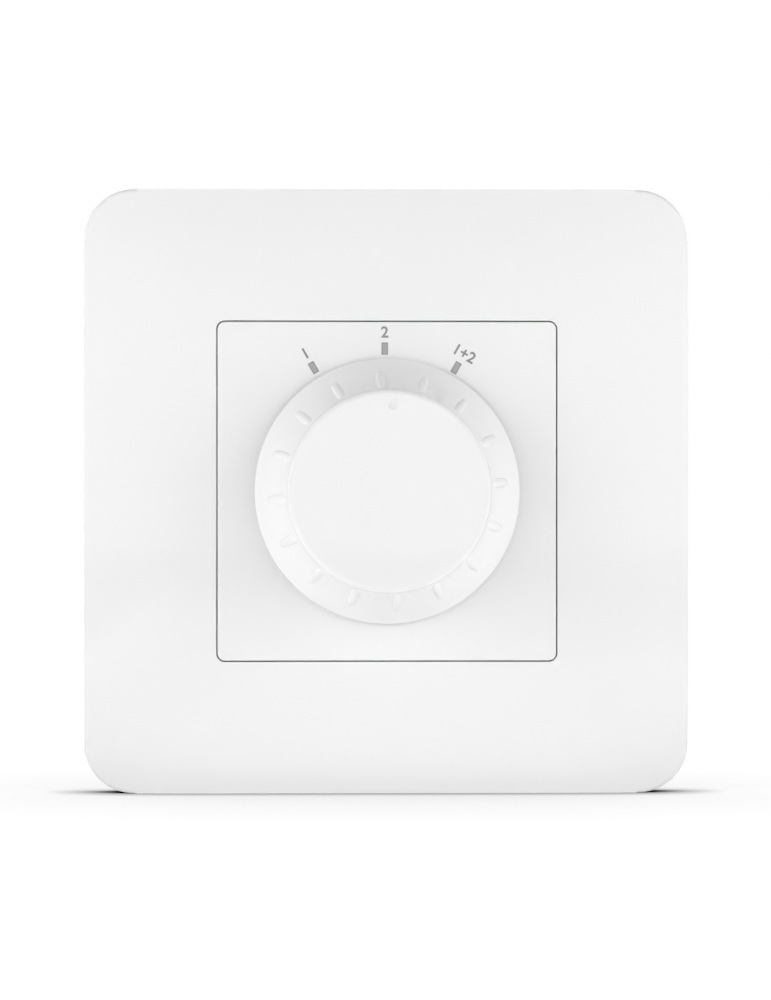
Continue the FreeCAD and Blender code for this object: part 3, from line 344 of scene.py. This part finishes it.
def tin_solder(colours):
    # Tin solder fillets: smooth and shiny with a faint frosting.
    material, tree, shader, where = start_material("tin_solder", colours.solder, 0.25, 1.0)
    tones = (shade_of(colours.solder, 0.8), colours.solder)
    vary(tree, shader, where, 0.3 * MM, tones, (0.15, 0.4), 0.01 * MM)
    return material


def grey_polyamide(colours):
    # Glass-filled polyamide: dark grey, satin, with a fine spark-eroded grain.
    material, tree, shader, where = start_material("grey_polyamide", colours.terminal, 0.45)
    tones = (shade_of(colours.terminal, 0.85), shade_of(colours.terminal, 1.2))
    vary(tree, shader, where, 0.25 * MM, tones, (0.38, 0.52), 0.015 * MM)
    return material


def white_table():
    # A white sheet under the object: plain white to the eye, with a painted shadow of the object
    # that ambient occlusion darkens rather than the lamps; other rays see a plain white bounce.
    material = bpy.data.materials.new("white_table")
    material.use_nodes = True
    tree = material.node_tree
    tree.nodes.clear()
    bounce = add_node(tree, "ShaderNodeBsdfDiffuse", inputs={"Color": (0.93, 0.93, 0.93, 1)})
    painted_shadow_levels = []
    # painted shadow: a wide faint and a narrow dark darkening from ambient occlusion near the object
    wide_and_faint, narrow_and_dark = (80 * MM, 0.66), (7 * MM, -0.1)
    for reach, dark in (wide_and_faint, narrow_and_dark):
        open_sky = add_node(tree, "ShaderNodeAmbientOcclusion", inputs={"Distance": reach})
        painted_shadow_fade = {"Value": open_sky.outputs["AO"], "To Min": dark, "To Max": 1.01}
        painted_shadow_levels.append(add_node(tree, "ShaderNodeMapRange", inputs=painted_shadow_fade).outputs["Result"])
    level = add_node(
        tree, "ShaderNodeMath", {"operation": "MULTIPLY"}, {0: painted_shadow_levels[0], 1: painted_shadow_levels[1]}
    )
    # the camera sees a white glow dimmed by the painted shadow, not light from the lamps
    seen = add_node(tree, "ShaderNodeEmission", inputs={"Strength": level.outputs[0]})
    path = add_node(tree, "ShaderNodeLightPath")
    mix = add_node(
        tree,
        "ShaderNodeMixShader",
        inputs={0: path.outputs["Is Camera Ray"], 1: bounce.outputs[0], 2: seen.outputs[0]},
    )
    output = add_node(tree, "ShaderNodeOutputMaterial")
    tree.links.new(mix.outputs[0], output.inputs["Surface"])
    return material


def material_named(maker):
    """The material that this maker makes, made once."""
    found = bpy.data.materials.get(maker.__name__)
    return found or maker(bpy.context.scene.selector_colours)


# mesh helpers


def add_piece(name, bm, maker, body, replaces=(), sharp=30.0):
    """Turn a mesh into a named piece that rides a body, with its material and smooth shading."""
    bmesh.ops.recalc_face_normals(bm, faces=bm.faces)
    mesh = bpy.data.meshes.new(name)
    bm.to_mesh(mesh)
    bm.free()
    mesh.shade_smooth()
    mesh.set_sharp_from_angle(angle=math.radians(sharp))
    piece = bpy.data.objects.new(name, mesh)
    bpy.context.scene.collection.objects.link(piece)
    mesh.materials.append(material_named(maker))
    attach(piece, body)
    if replaces:
        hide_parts(*replaces)
    flatten = piece.modifiers.new("flatten", "WEIGHTED_NORMAL")
    flatten.keep_sharp = True
    flatten.weight = 100


def bevel_edges(bm, edges, width, segments):
    bmesh.ops.bevel(
        bm,
        geom=list(edges),
        offset=width,
        offset_type="OFFSET",
        segments=segments,
        profile=0.5,
        affect="EDGES",
        clamp_overlap=True,
        material=-1,
    )


def add_block(bm, low, high, bevel):
    """A rounded block between two corners."""
    low, high = Vector(low), Vector(high)
    size = Vector(abs(v) for v in high - low)
    place = Matrix.Translation((low + high) / 2) @ Matrix.Diagonal((*size, 1))
    made = bmesh.ops.create_cube(bm, size=1, matrix=place)["verts"]
    bevel_edges(bm, {e for v in made for e in v.link_edges}, bevel, 2)


def extrude_back(bm, edges, depth):
    """Extrude a loop of edges straight back to a depth."""
    made = bmesh.ops.extrude_edge_only(bm, edges=list(edges))["geom"]
    for vert in made:
        if isinstance(vert, bmesh.types.BMVert):
            vert.co.y = depth


def softened_copy(node, name, maker, body, wanted, width):
    """A CAD node's mesh with the wanted edges rounded."""
    bm = bmesh.new()
    bm.from_mesh(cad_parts[node].data)
    bmesh.ops.remove_doubles(bm, verts=bm.verts, dist=0.0005 * MM)
    bmesh.ops.dissolve_limit(
        bm, angle_limit=math.radians(0.5), verts=bm.verts, edges=bm.edges, delimit=set()
    )
    edges = [e for e in bm.edges if len(e.link_faces) == 2 and wanted(e)]
    bevel_edges(bm, edges, width, 3)
    add_piece(name, bm, maker, body, (node,))


# cover frame


def grid_lines(sizes, half):
    """How far the face's grid lines lie from its middle, and which one is the opening's edge."""
    straight = sizes.opening_half - sizes.opening_corner
    corner_start = half - sizes.frame_corner
    to_rim = ((0.0, straight, 3), (straight, sizes.opening_half, 6))
    past_rim = ((sizes.opening_half, corner_start, 24), (corner_start, half, 14))
    lines = [
        start + (end - start) * i / count
        for start, end, count in to_rim + past_rim
        for i in range(count)
    ]
    return lines + [half], sum(count for _, _, count in to_rim)


def round_corner(x, z, start):
    """Draw a place beyond start both ways in from its square corner to a round one."""
    a, b = abs(x) - start, abs(z) - start
    if a <= 0 or b <= 0:
        return x, z
    scale = max(a, b) / math.hypot(a, b)
    return math.copysign(start + a * scale, x), math.copysign(start + b * scale, z)


def make_frame_surface(sizes, half, front):
    """The frame's face as a grid, falling away from its flat middle, with round corners."""
    bm = bmesh.new()
    lines, rim = grid_lines(sizes, half)
    total = len(lines) - 1
    bmesh.ops.create_grid(bm, x_segments=2 * total, y_segments=2 * total, size=total)
    holes = [f for f in bm.faces if max(abs(c) for c in f.calc_center_median()) < rim]
    bmesh.ops.delete(bm, geom=holes, context="FACES")
    for vert in bm.verts:
        steps = [round(abs(c)) for c in vert.co.xy]
        x = math.copysign(lines[steps[0]], vert.co.x)
        z = math.copysign(lines[steps[1]], vert.co.y)
        if max(steps) == rim:
            x, z = round_corner(x, z, sizes.opening_half - sizes.opening_corner)
        x, z = round_corner(x, z, half - sizes.frame_corner)
        vert.co = (x, front + fall_of_face(x, z, sizes), z)
    return bm


def fall_of_face(x, z, sizes):
    """The fall of the face: along one side it is an arc, and towards a corner the two join."""
    over_x = max(0.0, abs(x) - sizes.flat_half)
    over_z = max(0.0, abs(z) - sizes.flat_half)
    over = math.hypot(over_x, over_z)
    return sizes.curve_radius - math.sqrt(sizes.curve_radius**2 - over**2)


class SELECTOR_OT_cover_frame(bpy.types.Operator):
    """Model the square cover frame with its curved face and snap-in arms"""

    bl_idname = "selector.cover_frame"
    bl_label = "Cover frame"

    def execute(self, context):
        sizes = context.scene.selector_sizes
        low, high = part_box("cover_frame")
        half, front = high[0], low[1]
        bm = make_frame_surface(sizes, half, front)
        border = [e for e in bm.edges if e.is_boundary]
        reach = (sizes.opening_half + half) / 2
        outer = [e for e in border if max(abs(c) for c in e.verts[0].co.xz) > reach]
        inner = [e for e in border if e not in set(outer)]
        opening_depth = front + 2 * sizes.frame_wall
        for loop, depth, width, segments in (
            (outer, 0.0, sizes.frame_edge, 5),
            (inner, opening_depth, sizes.opening_edge, 3),
        ):
            extrude_back(bm, loop, depth)
            bevel_edges(bm, loop, width, segments)
        bmesh.ops.recalc_face_normals(bm, faces=bm.faces)
        face = max(bm.faces, key=lambda f: -f.calc_center_median().y)
        if face.normal.y > 0:
            bmesh.ops.reverse_faces(bm, faces=bm.faces)
        bmesh.ops.solidify(bm, geom=bm.faces, thickness=sizes.frame_wall)
        for side in (1, -1):
            for end in (1, -1):
                self.add_arm(bm, sizes, side, end)
        add_piece(
            "cover_frame_moulding", bm, gloss_white_urea, "wall_plate",
            ("cover_frame",),
        )
        return {"FINISHED"}

    def add_arm(self, bm, sizes, side, end):
        """A snap-in arm with a hook that points away from the opening."""
        low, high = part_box("cover_frame")
        x, z = side * sizes.arm_x, end * sizes.arm_z
        x0, x1 = x - sizes.arm_thickness / 2, x + sizes.arm_thickness / 2
        z0, z1 = z - sizes.arm_width / 2, z + sizes.arm_width / 2
        arm_start, arm_end = low[1] + sizes.arm_sink, sizes.arm_end
        add_block(bm, (x0, arm_start, z0), (x1, arm_end, z1), sizes.arm_edge)
        if side > 0:
            x1 += sizes.hook_reach
        else:
            x0 -= sizes.hook_reach
        add_block(bm, (x0, sizes.hook_start, z0), (x1, high[1], z1), sizes.arm_edge)


class SELECTOR_OT_centre_plate(bpy.types.Operator):
    """Round the front edge of the centre plate"""

    bl_idname = "selector.centre_plate"
    bl_label = "Centre plate"

    def execute(self, context):
        sizes = context.scene.selector_sizes
        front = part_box("centre_plate")[0][1]
        near_outline = 21 * MM

        def front_outline(edge):
            on_front = all(abs(v.co.y - front) < 0.01 * MM for v in edge.verts)
            outside = all(max(abs(v.co.x), abs(v.co.z)) > near_outline for v in edge.verts)
            return on_front and outside and edge.calc_face_angle(0) > 1

        softened_copy(
            "centre_plate", "centre_plate_moulding", gloss_white_urea, "wall_plate",
            front_outline, sizes.plate_edge,
        )
        return {"FINISHED"}


# knob


def arc_points(start, end, radius, steps):
    """Points of the arc from start to end that is hollow towards larger radii."""
    middle = (start + end) / 2
    chord = end - start
    side = Vector((abs(chord.y), abs(chord.x))).normalized()
    centre = middle + side * math.sqrt(radius**2 - (chord.length / 2) ** 2)
    first = math.atan2(start.y - centre.y, start.x - centre.x)
    last = math.atan2(end.y - centre.y, end.x - centre.x)
    turn = (last - first + math.pi) % (2 * math.pi) - math.pi
    angles = [first + turn * i / steps for i in range(steps + 1)]
    return centre, [centre + radius * Vector((math.cos(a), math.sin(a))) for a in angles]


def knob_outline(sizes, base, front):
    """The knob's section as (distance from the axis, distance out from the wall)."""
    foot = Vector((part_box("knob")[1][0], base + sizes.knob_rim))
    brow = Vector((sizes.knob_top, front))
    centre, flare = arc_points(foot, brow, sizes.flare_radius, 36)
    edge = sizes.knob_edge
    while flare[-1].y > front - edge:
        flare.pop()
    shoulder = flare[-1]
    rounding = []
    steps = 8
    for i in range(1, steps + 1):
        angle = math.pi / 2 * i / steps
        rounding.append(
            Vector((
                shoulder.x - edge * (1 - math.cos(angle)),
                shoulder.y + (front - shoulder.y) * math.sin(angle),
            ))
        )
    ceiling = front - sizes.knob_wall
    foot_round, ceiling_inset, face_band = 0.15 * MM, 0.1 * MM, 0.25 * MM
    points = [Vector((0.0, sizes.bore_end)), Vector((sizes.bore_radius, sizes.bore_end))]
    points += [Vector((sizes.bore_radius, sizes.boss_start))]
    points += [Vector((sizes.boss_radius, sizes.boss_start)), Vector((sizes.boss_radius, ceiling))]
    points += [Vector((sizes.knob_top - sizes.knob_wall - ceiling_inset, ceiling))]
    points += [Vector((foot.x - sizes.knob_wall, base)), Vector((foot.x - foot_round, base))]
    points += [Vector((foot.x, base + foot_round))]
    points += flare + rounding
    points += [Vector((rounding[-1].x - face_band, front)), Vector((0.0, front))]
    return centre, points


def add_rib(bm, start, end, radius, angle):
    """A round-ended bar from start to end, turned about the knob's axis."""
    length = (end - start).length
    made = bmesh.ops.create_uvsphere(bm, u_segments=20, v_segments=16, radius=radius)["verts"]
    level = 0.01 * radius
    far = [v for v in made if v.co.z > level]
    middle = [v for v in made if abs(v.co.z) <= level]
    bmesh.ops.translate(bm, verts=far, vec=(0, 0, length))
    bmesh.ops.translate(bm, verts=middle, vec=(0, 0, length / 2))
    turn = Vector((0, 0, 1)).rotation_difference(end - start).to_matrix().to_4x4()
    around = Matrix.Rotation(angle, 4, "Y")
    bmesh.ops.transform(bm, verts=made, matrix=around @ Matrix.Translation(start) @ turn)


class SELECTOR_OT_knob(bpy.types.Operator):
    """Turn the flared knob and add its grip ribs and pointer dimple"""

    bl_idname = "selector.knob"
    bl_label = "Knob"

    rib_count: bpy.props.IntProperty(name="Ribs", description="Number of ribs", default=16)
    rib_angle: bpy.props.FloatProperty(
        name="First rib", description="Clockwise from the top", default=math.radians(-4.2),
        subtype="ANGLE",
    )
    pointer_angle: bpy.props.FloatProperty(
        name="Pointer", description="Clockwise from the top", default=math.radians(2.5),
        subtype="ANGLE",
    )

    def execute(self, context):
        sizes = context.scene.selector_sizes
        low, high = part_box("knob")
        base, front = -high[1], -low[1]
        centre, points = knob_outline(sizes, base, front)
        bm = bmesh.new()
        verts = [bm.verts.new((p.x, -p.y, 0)) for p in points]
        edges = [bm.edges.new(pair) for pair in zip(verts, verts[1:])]
        bmesh.ops.spin(
            bm, geom=verts + edges, cent=(0, 0, 0), axis=(0, 1, 0), angle=2 * math.pi,
            steps=180, use_merge=True,
        )
        bmesh.ops.remove_doubles(bm, verts=bm.verts, dist=0.002 * MM)
        self.cut_dimple(bm, sizes, front)
        self.add_ribs(bm, sizes, centre)
        add_piece(
            "knob_moulding", bm, gloss_white_urea, "knob_and_rotor", ("knob",)
        )
        return {"FINISHED"}

    def cut_dimple(self, bm, sizes, front):
        """Hollow the pointer dimple out of the front face with a ball."""
        radius = (sizes.dimple_radius**2 + sizes.dimple_depth**2) / (2 * sizes.dimple_depth)
        place = Vector((
            sizes.dimple_place * math.sin(self.pointer_angle),
            -front - radius + sizes.dimple_depth,
            sizes.dimple_place * math.cos(self.pointer_angle),
        ))
        bmesh.ops.recalc_face_normals(bm, faces=bm.faces)
        solid = bpy.data.meshes.new("knob_solid")
        bm.to_mesh(solid)
        ball_bm = bmesh.new()
        bmesh.ops.create_icosphere(
            ball_bm, subdivisions=5, radius=radius, matrix=Matrix.Translation(place)
        )
        ball_mesh = bpy.data.meshes.new("dimple_ball")
        ball_bm.to_mesh(ball_mesh)
        ball_bm.free()
        holder = bpy.data.objects.new("knob_solid", solid)
        ball = bpy.data.objects.new("dimple_ball", ball_mesh)
        for item in (holder, ball):
            bpy.context.scene.collection.objects.link(item)
        cut = holder.modifiers.new("dimple", "BOOLEAN")
        cut.operation = "DIFFERENCE"
        cut.object = ball
        cut.solver = "EXACT"
        bpy.context.view_layer.update()
        view = holder.evaluated_get(bpy.context.evaluated_depsgraph_get())
        bm.clear()
        bm.from_mesh(view.to_mesh())
        view.to_mesh_clear()
        for item in (holder, ball):
            bpy.data.objects.remove(item)

    def add_ribs(self, bm, sizes, centre):
        def on_flare(radius):
            return centre.y - math.sqrt(sizes.flare_radius**2 - (centre.x - radius) ** 2)

        inner = Vector((sizes.rib_inner, on_flare(sizes.rib_inner)))
        outer = Vector((sizes.rib_outer, on_flare(sizes.rib_outer)))
        along = outer - inner
        sink = Vector((along.y, -along.x)).normalized() * (sizes.rib_radius - sizes.rib_proud)
        sink = sink if sink.x < 0 else -sink
        inner, outer = inner + sink, outer + sink
        for i in range(self.rib_count):
            angle = self.rib_angle + 2 * math.pi * i / self.rib_count - math.pi / 2
            start, end = Vector((inner.x, -inner.y, 0)), Vector((outer.x, -outer.y, 0))
            add_rib(bm, start, end, sizes.rib_radius, angle)


# print on the centre plate

INK_THICKNESS = 0.01 * MM
INK_LIFT = 0.004 * MM
MARKS = ((-30, "1"), (0, "2"), (30, "1+2"))


def caption_mesh(text, sizes):
    """A caption as a mesh in the XY plane, centred."""
    curve = bpy.data.curves.new("caption", "FONT")
    curve.body = text
    curve.size = sizes.caption_size
    curve.offset = sizes.caption_bold
    curve.align_x = "CENTER"
    curve.align_y = "CENTER"
    curve.extrude = INK_THICKNESS / 2
    holder = bpy.data.objects.new("caption", curve)
    bpy.context.scene.collection.objects.link(holder)
    bpy.context.view_layer.update()
    mesh = bpy.data.meshes.new_from_object(
        holder.evaluated_get(bpy.context.evaluated_depsgraph_get())
    )
    bpy.data.objects.remove(holder)
    return mesh


class SELECTOR_OT_legend(bpy.types.Operator):
    """Print the three marks and their plain numbers"""

    bl_idname = "selector.legend"
    bl_label = "Legend"

    def execute(self, context):
        sizes = context.scene.selector_sizes
        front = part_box("centre_plate")[0][1] - INK_LIFT
        ink, fill = bmesh.new(), bmesh.new()
        middle = Vector((sizes.legend_shift, front, 0.0))
        upright = Matrix.Rotation(math.pi / 2, 4, "X")
        for angle, text in MARKS:
            turn = Matrix.Rotation(math.radians(angle), 4, "Y")
            out = turn @ Vector((0, 0, 1))
            place = Matrix.Translation(middle + out * sizes.mark_place) @ turn
            self.add_mark(fill, place, sizes.mark_width, sizes.mark_length)
            self.add_outline(ink, place, sizes)
            before = set(ink.verts)
            ink.from_mesh(caption_mesh(text, sizes))
            letters = [v for v in ink.verts if v not in before]
            place = Matrix.Translation(middle + out * sizes.caption_place)
            bmesh.ops.transform(ink, verts=letters, matrix=place @ turn @ upright)
        add_piece("printed_legend", ink, grey_pad_print, "wall_plate")
        add_piece("printed_marks", fill, hatched_pad_print, "wall_plate")
        return {"FINISHED"}

    def add_mark(self, bm, place, width, length):
        size = Matrix.Diagonal((width, INK_THICKNESS, length, 1))
        bmesh.ops.create_cube(bm, size=1, matrix=place @ size)

    def add_outline(self, bm, place, sizes):
        """Four thin bars round a mark, a hair in front of its fill."""
        line = sizes.mark_line
        across = (sizes.mark_width - line) / 2
        along = (sizes.mark_length - line) / 2
        for x, z, width, length in (
            (across, 0, line, sizes.mark_length),
            (-across, 0, line, sizes.mark_length),
            (0, along, sizes.mark_width - 2 * line, line),
            (0, -along, sizes.mark_width - 2 * line, line),
        ):
            bar = place @ Matrix.Translation((x, -INK_LIFT, z))
            self.add_mark(bm, bar, width, length)


# board details

# a solder fillet's section in millimetres: distance from the pin's middle, height on the board
FILLET = ((1.0, 0.0), (1.0, 0.06), (0.8, 0.16), (0.62, 0.42), (0.5, 0.9), (0.47, 1.0))


def pin_places():
    """Where the switch's pins come through the board, as (x, z)."""
    places = []
    fixed_contacts, common_contacts = (9.0 * MM, 30, 12), (5.5 * MM, 90, 4)
    for radius, step, count in (fixed_contacts, common_contacts):
        for i in range(count):
            angle = math.radians(step * i)
            places.append((radius * math.sin(angle), radius * math.cos(angle)))
    return places


class SELECTOR_OT_solder_joints(bpy.types.Operator):
    """Flow a solder fillet round each switch pin on the board's rear face"""

    bl_idname = "selector.solder_joints"
    bl_label = "Solder joints"

    def execute(self, context):
        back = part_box("circuit_board")[1][1]
        bm = bmesh.new()
        for x, z in pin_places():
            points = [Vector((x + r * MM, back + h * MM, z)) for r, h in FILLET]
            verts = [bm.verts.new(p) for p in points]
            edges = [bm.edges.new(pair) for pair in zip(verts, verts[1:])]
            bmesh.ops.spin(
                bm, geom=verts + edges, cent=(x, back, z), axis=(0, 1, 0), angle=2 * math.pi,
                steps=24, use_merge=True,
            )
        open_loops = [e for e in bm.edges if e.is_boundary]
        bmesh.ops.holes_fill(bm, edges=open_loops, sides=0)
        add_piece("solder_joints", bm, tin_solder, "wall_plate", sharp=50.0)
        return {"FINISHED"}


class SELECTOR_OT_finishes(bpy.types.Operator):
    """Give every carried-over piece its real finish"""

    bl_idname = "selector.finishes"
    bl_label = "Finishes"

    def execute(self, context):
        finishes = {
            zinc_plated_sheet: ["support_frame"],
            bright_plated_steel: STEEL_SCREWS,
            nickel_plated_brass: NICKEL_PIECES,
            blued_spring_steel: ["shaft_circlip", "detent_springs", "knob_clip"],
            die_cast_metal: ["switch_cover"],
            black_phenolic: ["switch_housing", "switch_base"],
            natural_nylon: ["detent_wheel", "contact_rotor"],
            silver_plated_brass: ["wiper_contacts", "fixed_contacts", "common_contacts"],
            green_solder_mask: ["circuit_board"],
            grey_polyamide: [f"{side}_terminal_housing" for side in BLOCKS],
        }
        for maker, nodes in finishes.items():
            for node in nodes:
                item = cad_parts[node]
                item.data.materials.clear()
                item.data.materials.append(material_named(maker))
        return {"FINISHED"}


# stage


def add_panel_light(name, middle, width, height, turn, strength, mirrored):
    """A soft panel that either lights matt surfaces or shows only mirrored in gloss."""
    lamp = bpy.data.lights.new(name, "AREA")
    lamp.shape = "RECTANGLE"
    lamp.size = width
    lamp.size_y = height
    lamp.energy = strength * math.pi * width * height
    light = bpy.data.objects.new(name, lamp)
    light.location = middle
    light.rotation_euler = turn
    light.visible_camera = False
    light.visible_diffuse = not mirrored
    light.visible_glossy = mirrored
    bpy.context.scene.collection.objects.link(light)


def seen_white(tree, level):
    """A background that is plain white to the eye and in mirrors, and has this level as light."""
    path = add_node(tree, "ShaderNodeLightPath")
    mirror = add_node(
        tree,
        "ShaderNodeMath",
        {"operation": "MAXIMUM"},
        {0: path.outputs["Is Glossy Ray"], 1: path.outputs["Is Transmission Ray"]},
    )
    seen = add_node(
        tree,
        "ShaderNodeMath",
        {"operation": "MAXIMUM"},
        {0: path.outputs["Is Camera Ray"], 1: mirror.outputs[0]},
    )
    mix = add_node(tree, "ShaderNodeMix", {"data_type": "RGBA"}, {0: seen.outputs[0]})
    tree.links.new(level, mix.inputs[6])
    mix.inputs[7].default_value = (1, 1, 1, 1)
    return mix.outputs[2]


class SELECTOR_OT_stage(bpy.types.Operator):
    """Set the camera, the floor, the soft panels and the pale surroundings"""

    bl_idname = "selector.stage"
    bl_label = "Stage"

    camera_turn: bpy.props.FloatProperty(
        name="Camera turn", description="How far left of square-on the camera stands",
        default=math.radians(1.8), subtype="ANGLE",
    )
    ambient: bpy.props.FloatProperty(name="Ambient", description="Surrounding light", default=0.02)
    overhead: bpy.props.FloatProperty(name="Overhead", description="Light from above", default=0.3)
    panels: bpy.props.FloatProperty(name="Panels", description="Side panels' light", default=2.34)
    card: bpy.props.FloatProperty(name="Card", description="Low card's light", default=0.26)
    behind: bpy.props.FloatProperty(name="Behind", description="Rear panel's light", default=1.2)
    gleam: bpy.props.FloatProperty(name="Gleam", description="Panels seen in gloss", default=2.3)

    def execute(self, context):
        scene = context.scene
        self.add_camera(scene)
        self.add_floor(scene)
        self.add_world(scene)
        side_height = 0.4
        for name, side, reach in (("left", -0.3, 1.6), ("right", 0.3, 0.64)):
            facing = (math.pi / 2, 0, math.copysign(math.pi / 2, side))
            shape = ((side, -reach / 2, 0.0), reach, side_height, facing)
            add_panel_light(f"{name}_panel", *shape, self.panels, False)
            add_panel_light(f"{name}_gleam", *shape, self.gleam, True)
        just_above_floor = CAD_BOX[0][2] + MM
        upwards = (math.pi, 0, 0)
        card_place = (0.0, -0.112, just_above_floor)
        add_panel_light("low_card", card_place, 0.5, 0.2, upwards, self.card, False)
        forwards = (-math.pi / 2, 0, 0)
        rear_place = (0.0, 0.6, 0.1)
        add_panel_light("rear_panel", rear_place, 0.8, 0.6, forwards, self.behind, False)
        scene.view_settings.view_transform = "Standard"
        return {"FINISHED"}

    def add_camera(self, scene):
        sizes = scene.selector_sizes
        camera = bpy.data.cameras.new("camera")
        camera.sensor_fit = "VERTICAL"
        camera.sensor_height = 36.0
        camera.lens = camera.sensor_height * sizes.camera_distance / sizes.picture_height
        camera.clip_end = 20.0
        item = bpy.data.objects.new("camera", camera)
        aim = Vector((-0.2 * MM, -9.0 * MM, -1.16 * MM))
        heading = Vector((-math.sin(self.camera_turn), -math.cos(self.camera_turn), 0))
        item.location = aim + heading * sizes.camera_distance
        item.rotation_euler = (math.pi / 2, 0, -self.camera_turn)
        scene.collection.objects.link(item)
        scene.camera = item

    def add_floor(self, scene):
        bm = bmesh.new()
        bmesh.ops.create_grid(bm, x_segments=1, y_segments=1, size=3.0)
        bmesh.ops.translate(bm, verts=bm.verts, vec=(0, 0, CAD_BOX[0][2]))
        mesh = bpy.data.meshes.new("floor")
        bm.to_mesh(mesh)
        bm.free()
        floor = bpy.data.objects.new("floor", mesh)
        scene.collection.objects.link(floor)
        mesh.materials.append(white_table())

    def add_world(self, scene):
        world = bpy.data.worlds.new("surroundings")
        world.use_nodes = True
        tree = world.node_tree
        tree.nodes.clear()
        where = add_node(tree, "ShaderNodeTexCoord").outputs["Generated"]
        height = add_node(tree, "ShaderNodeSeparateXYZ", inputs={0: where}).outputs["Z"]
        level = add_node(
            tree,
            "ShaderNodeMapRange",
            {"interpolation_type": "SMOOTHSTEP"},
            {
                "Value": height, "From Min": -0.1, "From Max": 0.7,
                "To Min": self.ambient, "To Max": self.overhead,
            },
        ).outputs["Result"]
        back = add_node(tree, "ShaderNodeBackground", inputs={"Color": seen_white(tree, level)})
        output = add_node(tree, "ShaderNodeOutputWorld")
        tree.links.new(back.outputs[0], output.inputs["Surface"])
        scene.world = world


STEPS = (
    SELECTOR_OT_cover_frame,
    SELECTOR_OT_centre_plate,
    SELECTOR_OT_knob,
    SELECTOR_OT_legend,
    SELECTOR_OT_solder_joints,
    SELECTOR_OT_finishes,
    SELECTOR_OT_stage,
)


class SELECTOR_PT_panel(bpy.types.Panel):
    """Lists the steps that dress the selector"""

    bl_label = "Speaker selector"
    bl_idname = "SELECTOR_PT_panel"
    bl_space_type = "VIEW_3D"
    bl_region_type = "UI"
    bl_category = "Selector"

    def draw(self, context):
        for step in STEPS:
            self.layout.operator(step.bl_idname)


CLASSES = (SelectorSizes, SelectorColours, *STEPS, SELECTOR_PT_panel)


def register():
    for item in CLASSES:
        bpy.utils.register_class(item)
    bpy.types.Scene.selector_sizes = bpy.props.PointerProperty(type=SelectorSizes)
    bpy.types.Scene.selector_colours = bpy.props.PointerProperty(type=SelectorColours)


def unregister():
    del bpy.types.Scene.selector_colours
    del bpy.types.Scene.selector_sizes
    for item in reversed(CLASSES):
        bpy.utils.unregister_class(item)


def main():
    register()
    for step in STEPS:
        group, name = step.bl_idname.split(".")
        getattr(getattr(bpy.ops, group), name)()


if __name__ == "__main__":
    main()
